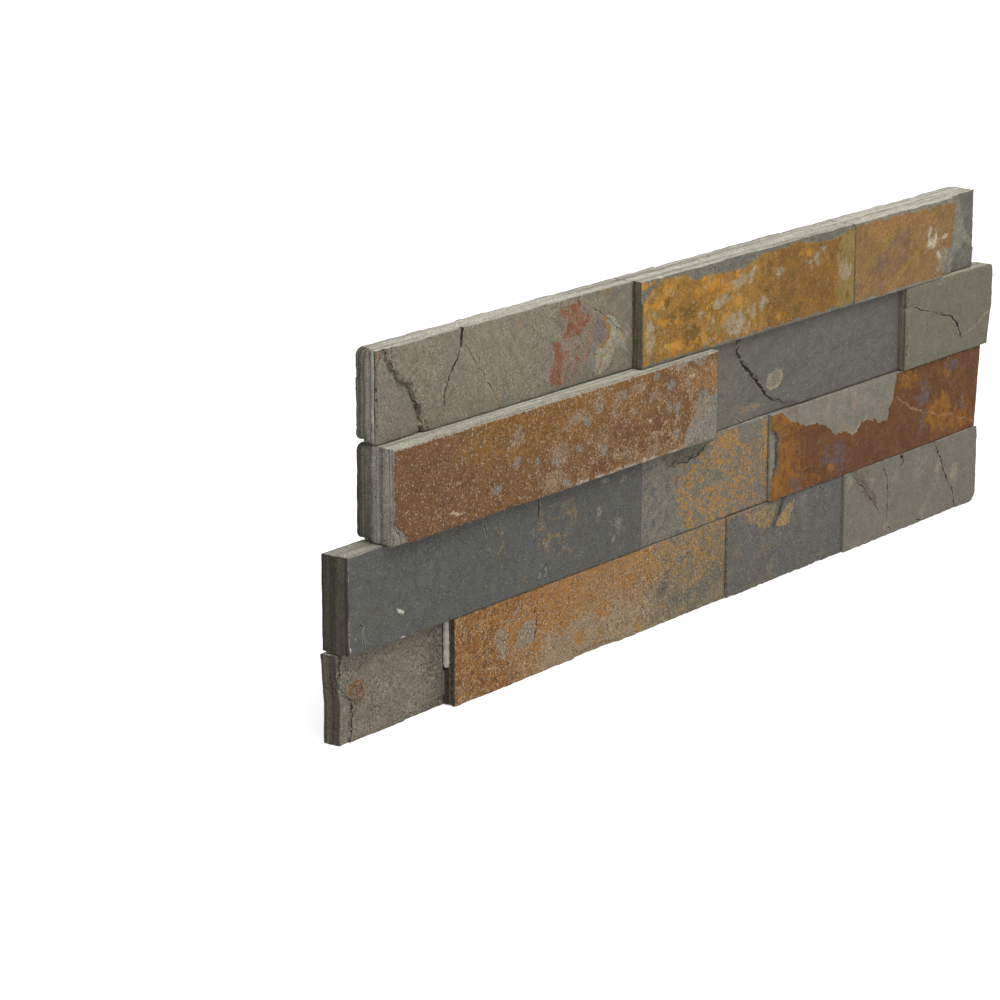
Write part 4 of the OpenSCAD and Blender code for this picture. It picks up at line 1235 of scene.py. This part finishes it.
def lower_speckled():
    f = Face("lower_speckled_stone", 32, losses())
    f.lump(60, 0.4)
    f.cleft(30, 3, 0.3, 10)
    f.grain(2.2, 0.06)
    rim = [(12, 50), (16, 36), (20, 29.2), (25.8, 31), (31.7, 30.5), (40, 31), (48.3, 34.7), (54, 36.4),
           (58, 50)]
    bare = f.region(rim, 0.4)
    f.depth += 1.0 * bare
    f.crack(rim[2:8], 0.16, 0.2, 0.2)
    f.stroke("shade", 0.55, [(20, 30), (26, 31.8), (32, 31.4), (40, 32), (48, 35.4)], 0.5, 1.0)
    zone = smooth(19, 27, f.rx + 0.35 * (f.rz - 18)) * (1 - bare)
    dense = 0.6 + 0.4 * smooth(34, 50, f.x) * smooth(86, 72, f.x)
    f.cover("gold", 0.85 * zone * gold_rings(f, 4.3, 5) * smooth(-0.7, 0.3, f.cloud(4, 61) + 0.5 * dense))
    f.cover("gold", 0.75 * zone * gold_rings(f, 2.7, 15) * smooth(-0.3, 0.5, f.cloud(6, 69) + 0.3 * dense))
    f.cover("gold", zone * 0.52 * smooth(0.1, 0.6, f.cloud(3.0, 62)) * dense)
    f.patch("gold", 0.6, [(56, 33), (58, 37), (68, 37.5), (70, 33), (66, 30), (60, 30)], 1.4)
    f.patch("gold", 0.7, [(88.5, 36), (91.5, 36), (91.5, 24), (89.5, 24)], 1.0)
    plain = f.region([(71, 36), (72, 31), (77, 29.5), (84, 30), (88, 33), (88, 38), (71, 38)], 1.2)
    f.uncover("gold", 0.85 * plain)
    f.cover("blue", 0.85 * smooth(-0.1, 0.4, f.cloud(3.4, 64)) * smooth(44, 22, f.x))
    f.cover("blue", 0.62 * smooth(0.0, 0.5, f.cloud(3.6, 65)) * smooth(20, 30, f.x))
    f.cover("smoke", 0.8 * bare)
    f.worn_edges(0.9, 0.27)
    veils = [
        ("blue", (96, 96, 94), (106, 104, 99), 1.8, 0.8),
        ("smoke", (118, 112, 97), (104, 100, 88), 2.0, 0.8),
        ("gold", (174, 128, 64), (154, 118, 70), 1.2, 0.8),
    ]
    ground = ((121, 116, 102), (128, 122, 106), (108, 105, 96))
    end = ((70, 66, 56), (92, 88, 76), 0.5, 0.4)
    stone_piece(f, slate(f, ground, veils, end, roughness=0.8, grain=0.7, relief=0.44, speck=0.8,
                         mottle=0.06))


def lower_copper():
    f = Face("lower_copper_stone", 33, losses(right=0.5), (), {"right": [(0, 3.4), (22, 1.3), (38, 0.1)]})
    f.lump(80, 0.4)
    f.cleft(44, 3, 0.25, 10)
    f.grain(3, 0.05)
    scar = [(6, 45), (9.7, 37), (15.5, 32), (23.8, 29.3), (33.8, 28), (42.2, 26.3), (45.5, 23),
            (50.5, 19.3), (57.2, 20), (65.5, 17.5), (77.2, 21.7), (88.8, 18), (94.7, 16.7), (94.7, 22.2),
            (98.8, 27.2), (100.5, 34.7), (99.7, 45)]
    bare = f.region(scar, 0.35)
    f.depth += 0.9 * bare
    eye = f.region([(-3, 33), (1.6, 31.6), (3.4, 27), (3.2, 15), (1, 10), (-3, 9)], 0.35)
    f.depth += 0.8 * eye
    f.cover("amber", 0.85 * smooth(50, 4, f.x + 9 * f.cloud(16, 62) + 0.4 * np.abs(f.z - 20)))
    f.patch("amber", 0.75, [(125, 10), (128, 19), (142, 22), (151, 16), (148, 7), (132, 4)], 4)
    f.patch("amber", 0.7, [(102, 31), (104, 38), (114, 38), (122, 33), (112, 28)], 3)
    f.patch("amber", 0.62, [(138, 4), (150, 12), (166, 14), (168, 2), (150, 0)], 4)
    f.cover("amber", 0.75 * f.band([(159.6, 16), (161.4, 3)], 0.8, 1.2)
            + 0.8 * f.spot(47, 5, 3.4, 3.6, 0, 0.6))
    f.cover("amber", 0.5 * f.region([(126, 33), (146, 36), (160, 31), (142, 26)], 4)
            + 0.5 * f.spot(30, 4, 12, 2.4, 0, 0.7))
    f.patch("maroon", 0.8, [(58, -2), (60, 15), (92, 15), (100, -2)], 6)
    f.patch("maroon", 0.7, [(98, 12), (102, 24), (118, 20), (116, 2), (104, 0)], 5)
    f.patch("maroon", 0.6, [(152, 38), (175, 38), (175, 18), (163, 22)], 6)
    blue_places = [[(12, -2), (13, 5), (20, 7.6), (27, 7), (28, -2)],
                   [(38, 10), (46, 19), (52, 18), (60, 14), (60, 0), (48, 3)],
                   [(116, 25), (121, 31), (131, 29), (128, 18), (126, 5), (120, 5), (122, 16)],
                   [(140, 33), (146, 37), (156, 35), (152, 29)],
                   [(156, 24), (160, 22), (161, 10), (157, 10)]]
    for points in blue_places:
        f.cover("blue", 0.8 * f.region(points, 3.4) * smooth(-0.8, 0.3, f.cloud(5, 61)))
    f.stroke("blue", 0.7, [(5.4, 31), (5.6, 22), (4, 12)], 0.8, 1.6)
    f.spots("flame", 0.8, [(102, 7, 1.4, 3.6, 25), (108, 7, 3, 0.9, 20), (17, 8.6, 3.4, 1.6, 40),
                           (3, 35.6, 3.4, 1.0), (22, 12, 1, 3, -15), (128, 30, 3, 1, 10), (50, 9, 1.4, 1)],
            0.7)
    arcs = [(24.2, 0.8, 0.2)] + [(reach, 0.5, 0.1) for reach in (19.6, 16.8, 13.6, 10.4, 26.6)]
    for reach, amount, half in arcs:
        turns = np.radians(np.linspace(-18, 48, 9))
        arc = [(-0.6 + reach * math.cos(a), 18.4 + reach * math.sin(a)) for a in turns]
        f.stroke("arc", amount, arc, half, 0.6)
    f.crack([(23.8, 7.9), (32.2, 8.2), (37, 6.8), (42.2, 7.4)], 0.16, 0.2, 0.0)
    f.stroke("vein", 0.7, [(100.5, 27), (117, 18), (134, 13), (150.5, 8.8), (168, 3)], 0.12, 0.7)
    for name in ("amber", "blue", "flame", "vein", "maroon"):
        f.uncover(name, np.maximum(bare, eye))
    f.cover("grey", np.maximum(bare, eye))
    f.cover("beige", 0.6 * f.spot(58.6, 23.5, 2, 2.8, 30, 0.5) * bare)
    f.stroke("rim", 0.5, scar[1:12], 0.1, 0.4)
    f.cover("rosy", 0.6 * bare * smooth(-0.2, 0.5, f.cloud(12, 81)))
    # A dark line along the rim of the eye-shaped loss at the left end
    f.stroke("ink", 0.95, [(1.8, 32), (3.6, 27), (3.5, 15), (1.4, 10)], 0.5, 0.6)
    f.crack([(1.8, 32), (3.8, 26), (3.6, 15), (1.4, 10)], 0.1, 0.2, 0.0)
    f.worn_edges(0.9, 0.27)
    veils = [
        ("maroon", (84, 50, 28), (94, 56, 26), 3.6, 0.9),
        ("amber", (140, 90, 14), (120, 76, 18), 4.0, 0.9),
        ("arc", (70, 44, 34), (84, 52, 34), 1.0, 0.8),
        ("blue", (84, 72, 74), (96, 78, 72), 2.0, 0.9),
        ("flame", (190, 124, 48), (170, 108, 42), 1.6, 0.9),
        ("vein", (160, 128, 98), (138, 104, 76), 0.8, 0.8),
        ("grey", (127, 122, 110), (121, 115, 103), 3.0, 0.3),
        ("rosy", (134, 122, 110), (129, 117, 106), 3.0, 0.9),
        ("rim", (170, 160, 140), (156, 146, 126), 1.2, 0.9),
        ("beige", (148, 138, 114), (140, 128, 102), 1.2, 0.9),
        ("ink", (60, 58, 62), (76, 70, 70), 1.0, 0.7),
    ]
    ground = ((103, 63, 20), (95, 57, 22), (86, 51, 24))
    stone_piece(f, slate(f, ground, veils, roughness=0.66, grain=0.32, relief=0.2, soft=0.2, mottle=0.16,
                         top_dust_and_light=((132, 125, 109), (164, 157, 141))))


def bottom_olive():
    f = Face("bottom_olive_stone", 41, losses(left=0.5, bottom=0.45), (),
             {"left": [(0, 1.4), (16, 1.9), (25, 0.9), (30, 0.5), (36, 0)]})
    f.lump(40, 0.5)
    f.cleft(22, 4, 0.35, 60)
    f.grain(2.2, 0.12)
    f.grain(1.3, 0.08, 32)
    left = [(2.6, 36), (2.2, 23), (5.8, 19.7), (9.2, 15.5), (8.9, 8.8), (7.6, 0), (7.6, -3)]
    f.scarp(left[::-1], 0.9, 6)
    f.crack(left, 0.2, 0.8, 0.3)
    f.crack([(6.3, 30.5), (5, 26.3), (5.3, 21.3)], 0.14, 0.3)
    f.flake([(39, -3), (40, 3), (48.3, 2.4), (55, 4), (61.7, 4.9), (68, 5.4), (68, -3)], 0.9)
    f.crack([(40, 3), (48.3, 2.2), (55, 3.8), (62, 4.7)], 0.16, 0.2, 0.9)
    f.stroke("ridge", 0.6, [(40, 4), (48, 3.4), (55, 4.8), (62, 5.6)], 0.5, 0.8)
    f.patch("leaf", 0.6, [(7, 20), (9, 24.6), (13, 24.6), (15.6, 20), (14.6, 14.6), (11, 12.6), (8.4, 16)],
            1.4)
    f.stroke("rust", 0.85, [(7.4, 20), (8, 23.5), (11, 24.8), (14.4, 23.6), (15.6, 20), (14.8, 16)], 0.35,
             0.8)
    f.cover("rust", 0.6 * f.band([(11, 24), (11, 18), (9, 14)], 0.2, 0.8)
            + 0.5 * f.band([(14, 21), (11.5, 17)], 0.2, 0.8))
    f.cover("ash", 0.5 * f.spot(10, 28, 7, 3, 20, 0.7) + 0.4 * smooth(0.0, 0.6, f.cloud(9, 61)))
    f.blotches("dark", 0.42, 0.55, 0.85, 1.7, 62, 2)
    f.cover("duller", 0.7 * smooth(42, 60, f.x + 6 * f.cloud(14, 63)))
    f.spots("white", 0.7, [(44, 11.4, 0.5, 0.7), (24, 6, 0.3, 1.4, 40), (2, 30, 0.5, 1.0)], 0.7)
    f.worn_edges(1.2, 0.42)
    # Painted shadow in the gap between the right end and the glue bead
    f.cover("dark", 0.8 * smooth(61.8, 63, f.x) * smooth(13, 16, f.z))
    veils = [
        ("ash", (126, 119, 105), (118, 111, 97), 1.8, 0.9),
        ("duller", (108, 101, 88), (113, 107, 93), 2.0, 0.9),
        ("ridge", (138, 130, 114), (126, 118, 102), 1.2, 0.8),
        ("leaf", (112, 88, 72), (104, 84, 70), 1.4, 0.9),
        ("rust", (152, 98, 62), (132, 90, 60), 0.9, 0.7),
        ("white", (200, 192, 176), (170, 162, 146), 0.8, 0.7),
    ]
    ground = ((134, 126, 110), (139, 131, 115), (121, 113, 99))
    end = ((110, 102, 88), (88, 82, 70), 0.5, 0.4)
    stone_piece(f, slate(f, ground, veils, end, grain=0.8, relief=0.85, speck=1.0, mottle=0.08))


def bottom_orange():
    f = Face("bottom_orange_stone", 42, losses(bottom=0.7))
    f.lump(80, 0.5)
    f.cleft(40, 3, 0.35, 12)
    f.grain(1.8, 0.1)
    f.grain(1.2, 0.06, 32)
    f.flake([(76, -3), (79, 1.6), (88, 3), (97, 2.8), (104, 1.2), (108, -3)], 0.9)
    slab = [(37, 13.4), (44, 12.6), (49, 14.4), (52, 19), (51.8, 24.4), (46, 24.8), (40.6, 20)]
    f.flake(slab, 0.4)
    f.cover("sand", 0.85 * smooth(46, 60, f.rx) * smooth(150, 125, f.rx)
            * smooth(26, 12, f.z + 6 * f.cloud(18, 62)))
    f.cover("sand", 0.4 * smooth(-0.2, 0.5, f.cloud(9, 65)) * smooth(50, 110, f.x))
    f.cover("olive", 0.92 * smooth(112, 150, f.x + 14 * f.cloud(22, 64) - 0.5 * (f.z - 18)))
    f.cover("orange", 0.66 * smooth(118, 66, f.x + 14 * f.cloud(26, 61))
            * smooth(4, 18, f.z + 6 * f.cloud(14, 62)))
    f.cover("orange", 0.5 * smooth(18, 32, f.z + 5 * f.cloud(12, 63)) * smooth(146, 128, f.x))
    f.spots("orange", 0.6, [(96, 16, 8, 5), (80, 8, 6, 3), (64, 22, 10, 5), (112, 26, 8, 4),
                            (128, 31, 8, 3)], 0.7)
    f.patch("deep", 0.7, [(-2, 40), (24, 40), (28, 24), (36, 6), (38, -2), (-2, -2)], 4)
    f.patch("deep", 0.6, [(24, 38), (52, 38), (44, 27), (32, 24)], 4)
    f.cover("umber", 0.5 * smooth(0.0, 0.5, f.cloud(4, 74)) * smooth(60, 30, f.x)
            + 0.42 * smooth(0.1, 0.6, f.cloud(5, 75)) * smooth(110, 70, f.x))
    f.patch("ash", 0.85, [(24, 22), (29, 25), (33, 21), (31.5, 16), (31, 10), (27.4, 13)], 1.8)
    f.cover("ash", 0.9 * f.region(slab, 1.4) + 0.5 * f.band([(30, 12), (34, 4), (36, 0)], 0.8, 1.4))
    f.cover("ash", 0.5 * smooth(0.2, 0.6, f.cloud(5, 66)) * smooth(26, 60, f.x))
    f.patch("ash", 0.5, [(31, 22), (38, 26), (44, 33), (40, 34), (32, 27)], 1.8)
    f.spots("smoke", 0.85, [(138, 15.6, 4.4, 3), (167, 8.4, 4.4, 4.8), (156.4, 8.4, 2.8, 4),
                            (147, 8, 4, 2.4), (176, 14, 4, 6), (160, 3, 6, 2)], 0.6)
    f.cover("gold", 0.62 * smooth(0.0, 0.5, f.cloud(2.8, 67)) * smooth(152, 170, f.x + 0.6 * (f.z - 18)))
    f.cover("gold", 0.6 * smooth(0.1, 0.6, f.cloud(5, 68)) * smooth(96, 122, f.x) * smooth(172, 160, f.x))
    f.spots("gold", 0.7, [(6, 18, 4, 2.4), (94, 7, 3, 3), (81, 9, 4, 4), (163, 26, 5, 4), (121, 4, 3, 4)],
            0.7)
    f.cover("pale", 0.4 * smooth(0.2, 0.8, f.cloud(2, 69, 2)) * smooth(120, 60, f.x))
    f.cover("pale", 0.8 * smooth(6, 1.5, f.z + 2 * f.cloud(5, 70)) * smooth(26, 8, f.x)
            * smooth(-0.4, 0.4, f.cloud(1.8, 72)))
    f.cover("pale", 0.5 * f.band([(137, 4), (142, 0)], 0.6, 1.2) + 0.5 * f.band([(2, 30), (5, 22)], 0.3, 1))
    f.crack([(76.8, 17), (78.5, 13)], 0.14, 0.3)
    f.crack([(98, 10), (100.5, 7)], 0.14, 0.3)
    f.crack([(116, 21), (122.7, 19.7), (124.4, 16.4), (128, 14)], 0.16, 0.4)
    f.crack([(127, 21), (129, 17.6), (133.5, 20), (140, 21.3), (143, 24)], 0.13, 0.3)
    f.crack([(52, 24.6), (52.4, 20), (50.8, 15)], 0.2, 0.4, 0.2)
    f.worn_edges(1.0, 0.36)
    hot = smooth(70, 30, f.x) + 0.6 * smooth(10, 24, f.z) * smooth(140, 100, f.x)
    clumps = smooth(-0.4, 0.4, f.cloud(8, 73))
    f.cover("fleck", 0.2 + 0.24 * np.clip(hot, 0, 1) * clumps)
    f.cover("speck", 0.2 + 0.22 * np.clip(hot, 0, 1) * clumps)
    f.cover("gold", 0.8 * gold_rings(f, 3.6, 25) * smooth(112, 134, f.x + 0.8 * (f.z - 18))
            * smooth(8, 18, f.z))
    veils = [
        ("sand", (160, 139, 111), (148, 130, 104), 2.2, 0.9),
        ("olive", (133, 121, 99), (118, 109, 92), 3.0, 0.9),
        ("orange", (168, 114, 50), (156, 112, 62), 2.2, 0.9),
        ("deep", (148, 98, 44), (128, 86, 46), 2.6, 0.9),
        ("umber", (96, 68, 44), (108, 78, 48), 1.5, 0.9),
        ("ash", (150, 140, 121), (134, 125, 108), 1.8, 0.6),
        ("gold", (172, 132, 70), (154, 120, 70), 1.4, 0.9),
        ("smoke", (107, 103, 93), (112, 107, 96), 2.2, 0.8),
        ("pale", (188, 164, 134), (170, 146, 118), 1.0, 0.9),
        ("fleck", (100, 72, 48), (112, 92, 70), 1.2, 0.8),
        ("speck", (196, 150, 96), (182, 158, 122), 1.0, 0.8),
    ]
    ground = ((162, 128, 86), (156, 122, 85), (138, 108, 78))
    end = ((78, 74, 65), (96, 90, 80), 0.75, 0.2)
    stone_piece(f, slate(f, ground, veils, end, grain=0.75, relief=0.7, speck=1.2, mottle=0.1))


def bottom_grey():
    f = Face("bottom_grey_stone", 43, losses(bottom=1.0))
    f.lump(60, 0.5)
    f.cleft(28, 4, 0.45, 15)
    f.grain(2.2, 0.07)
    f.scarp([(36.5, 25), (39.6, 30), (43, 34.5), (44, 40)], 0.6, 5, shade=0.9)
    f.crack([(37.6, 26.4), (40, 30), (42.6, 34)], 0.26, 0.5, 0.1)
    f.crack([(47.5, 19), (50, 15.4), (53, 12)], 0.13, 0.4)
    f.crack([(70, 36), (73, 33)], 0.24, 0.4)
    f.crack([(84, 5), (88, 3)], 0.14, 0.4)
    f.cover("brown", 0.75 * smooth(-0.2, 0.5, f.cloud(7, 61, 4, 1.8, 10)) * smooth(56, 26, f.x))
    f.blotches("brown", 0.45, 0.1, 0.6, 8, 62)
    f.patch("tan", 0.66, [(12.5, 34.7), (23.3, 35.4), (38, 35), (36, 30.5), (35, 26.4), (27.5, 24.4),
                          (22.5, 26), (20.8, 29.7), (14.2, 30.5)], 1.6)
    f.patch("tan", 0.95, [(37, 25.2), (42.4, 30.6), (50.4, 33.4), (49.4, 29.7), (47.5, 23.6), (40, 23.8)],
            0.9)
    f.blotches("smoke", 0.6, -0.1, 0.5, 9, 63, 4, 1.6, 30)
    f.cover("ochre", 0.6 * smooth(33, 36, f.z + f.cloud(4, 64)) * smooth(44, 10, f.x))
    f.patch("light", 0.75, [(54, 34), (60, 34), (62, 22), (61, 12), (57, 12), (56, 22)], 2.2)
    f.cover("pale", 0.5 * f.band([(0, 12), (5, 8), (8, 10)], 0.2, 0.9)
            + 0.4 * f.band([(4, 5), (10, 2)], 0.2, 0.9))
    f.worn_edges(1.0, 0.3)
    veils = [
        ("smoke", (92, 92, 88), (98, 97, 92), 2.4, 0.9),
        ("brown", (122, 110, 92), (110, 104, 91), 1.8, 0.9),
        ("ochre", (150, 124, 82), (128, 112, 84), 1.4, 0.9),
        ("light", (113, 111, 103), (108, 107, 100), 2.0, 0.9),
        ("tan", (160, 134, 92), (138, 118, 86), 1.5, 0.9),
        ("pale", (150, 146, 132), (134, 130, 118), 1.0, 0.8),
    ]
    ground = ((103, 101, 94), (106, 105, 98), (96, 94, 88))
    stone_piece(f, slate(f, ground, veils, grain=0.58, relief=0.44,
                         top_dust_and_light=((128, 118, 100), (170, 160, 140)), mottle=0.08, speck=0.7))


def bottom_buff():
    f = Face("bottom_buff_stone", 44, losses(right=0.7, bottom=0.9), [("right", False, 6, False)])
    f.lump(70, 0.5)
    f.cleft(34, 4, 0.4, 30)
    f.grain(2.4, 0.06)
    first = [(5, 40), (6, 35.5), (12.7, 29.7), (21, 21.3), (28.4, 14.4)]
    second = [(31, 40), (31.8, 34.7), (35.2, 28.8), (36.8, 20.5), (36.8, 10.5), (35.6, 3.8), (36, -3)]
    third = [(75.6, 40), (76.8, 35.5), (81, 28.8), (86.8, 18), (92.7, 10.5), (96, 0.5), (96.6, -3)]
    f.scarp(first, 0.6, 8, shade=0.5)
    f.crack(first, 0.34, 0.6, 0.3)
    f.crack([(16, 30), (22, 24), (26, 17)], 0.14, 0.3, 0.3)
    f.scarp(second, 0.3, 10, shade=0.4)
    f.crack(second[:6], 0.34, 0.7, 0.4)
    f.scarp(third[::-1], 0.7, 9, shade=0.2)
    f.crack(third, 0.24, 0.5, 0.5)
    f.crack([(61, 2.4), (64, 1.2), (67.4, -0.6)], 0.24, 0.5)
    f.crack([(39, 29.6), (45, 32)], 0.14, 0.3)
    f.crack([(36.4, 5), (42, 1.8), (47, 0)], 0.13, 0.3)
    # A small hole, set back and painted dark as the shade inside it
    hole = f.band([(47, 35.4), (49.4, 34.8), (50, 33), (48.4, 31)], 0.6, 0.5)
    f.depth += 1.0 * hole
    f.cover("dark", hole)
    f.stroke("violet", 0.9, [(9, 36), (15, 31), (23, 22), (27, 17)], 1.0, 1.6)
    f.cover("violet", 0.7 * f.band([(30.6, 36), (32, 33), (35.4, 27)], 0.4, 1.2)
            + 0.6 * f.band([(37.4, 19), (37, 8)], 0.4, 1.2))
    f.stroke("violet", 0.8, [(76.4, 36), (80.4, 28.8), (86, 18), (92, 10)], 0.5, 1.2)
    f.blotches("pale", 0.6, 0.0, 0.6, 9, 64, 4, 1.8, 60)
    f.patch("violet", 0.75, [(7, 36), (14, 34), (24, 24), (27, 17), (20, 20), (12, 27)], 2.0)
    f.cover("brown", 0.7 * f.spot(14, 34, 6, 3, 0, 0.7) + 0.4 * f.spot(80, 33, 5, 5, 0, 0.8)
            + 0.4 * f.spot(88, 14, 3, 7, -25, 0.8))
    f.patch("beige", 0.75, [(90, 18), (93, 23.4), (97.6, 22.6), (97, 16), (94, 14)], 1.2)
    f.spots("beige", 0.6, [(66, 6, 2.6, 4.6), (80, 24, 2.4, 4), (35.6, 3.6, 3.4, 4), (24, 29, 2, 2.4),
                           (78, 0.6, 1.4, 1), (4, 32, 3, 3)], 0.7)
    f.stroke("beige", 0.4, [(97, 1), (93.4, 10), (88, 18)], 0.5, 1.2)
    f.cover("smoke", 0.7 * f.region([(39, 26), (46, 32), (60, 31), (58, 25), (48, 25)], 3)
            + 0.4 * smooth(70, 100, f.x))
    f.cover("top_shade", 0.45 * smooth(28, 36, f.z))
    f.worn_edges(1.0, 0.3)
    veils = [
        ("top_shade", (115, 110, 97), (120, 115, 101), 2.4, 0.9),
        ("smoke", (117, 112, 100), (121, 117, 104), 2.4, 0.9),
        ("pale", (134, 129, 115), (128, 124, 110), 2.4, 0.9),
        ("violet", (100, 88, 79), (110, 99, 88), 1.6, 0.9),
        ("brown", (122, 108, 88), (114, 102, 84), 1.8, 0.9),
        ("beige", (154, 145, 122), (138, 130, 111), 1.6, 0.9),
    ]
    ground = ((123, 118, 106), (127, 121, 109), (115, 110, 99))
    stone_piece(f, slate(f, ground, veils, grain=0.36, relief=0.36,
                         top_dust_and_light=((150, 143, 125), (196, 189, 170)), mottle=0.05))


def adhesive():
    """One pale grey material for the bead and for the strips in the joints."""
    g = Graph("adhesive")
    tone = g.mix(g.remap(g.noise(3, 4, 0.6), 0.35, 0.65), rgb(150, 147, 136), rgb(178, 175, 164))
    g.put(g.shader.inputs["Base Color"], tone)
    g.shader.inputs["Roughness"].default_value = 0.7
    g.bump(g.noise(1.5, 3, 0.6, shift=2.0), 0.3)
    glue_bead().data.materials.append(g.material)
    for name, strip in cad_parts.items():
        if "adhesive" in name:
            strip.data.materials.clear()
            strip.data.materials.append(g.material)


def glue_bead():
    """Adhesive pressed out beside the left bottom joint: a lumpy quarter round at the orange stone's end."""
    low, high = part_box("bottom_olive_stone")
    end_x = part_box("bottom_orange_stone")[0][0] / MM
    face_y = low[1] / MM
    # In millimetres: where it starts and how far below the joint above it ends, how deep it is set into the
    # joint, and its mean radius
    foot = 15.5
    head = high[2] / MM - 0.6
    rooted = 0.6
    radius = 1.5
    steps = 60
    turns = 8
    points = []
    for i in range(steps + 1):
        z = foot + (head - foot) * i / steps
        lump = float(gradient_noise(np.array([z / 3.1]), np.array([0.37]), 5)[0])
        small = float(gradient_noise(np.array([z / 1.1]), np.array([0.81]), 6)[0])
        r = (radius + 0.5 * lump + 0.2 * small) * min(1, 0.2 + (z - foot) / 2.5)
        for k in range(turns + 1):
            angle = 0.5 * math.pi * k / turns
            x = end_x - r * math.cos(angle)
            y = face_y + rooted - (rooted + r) * math.sin(angle)
            points.append((x * MM, y * MM, z * MM))
    row = turns + 1
    quads = [(i * row + k, i * row + k + 1, (i + 1) * row + k + 1, (i + 1) * row + k)
             for i in range(steps) for k in range(turns)]
    mesh = bpy.data.meshes.new("glue_bead")
    mesh.from_pydata(points, [], quads)
    mesh.polygons.foreach_set("use_smooth", np.ones(len(quads), bool))
    piece = placed("glue_bead", mesh)
    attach(piece, "root")
    return piece


camera()
studio()
floor()
for build in (top_olive, top_gold, top_amber, upper_rust, upper_grey, upper_olive, lower_dark, lower_speckled,
              lower_copper, bottom_olive, bottom_orange, bottom_grey, bottom_buff):
    build()
adhesive()
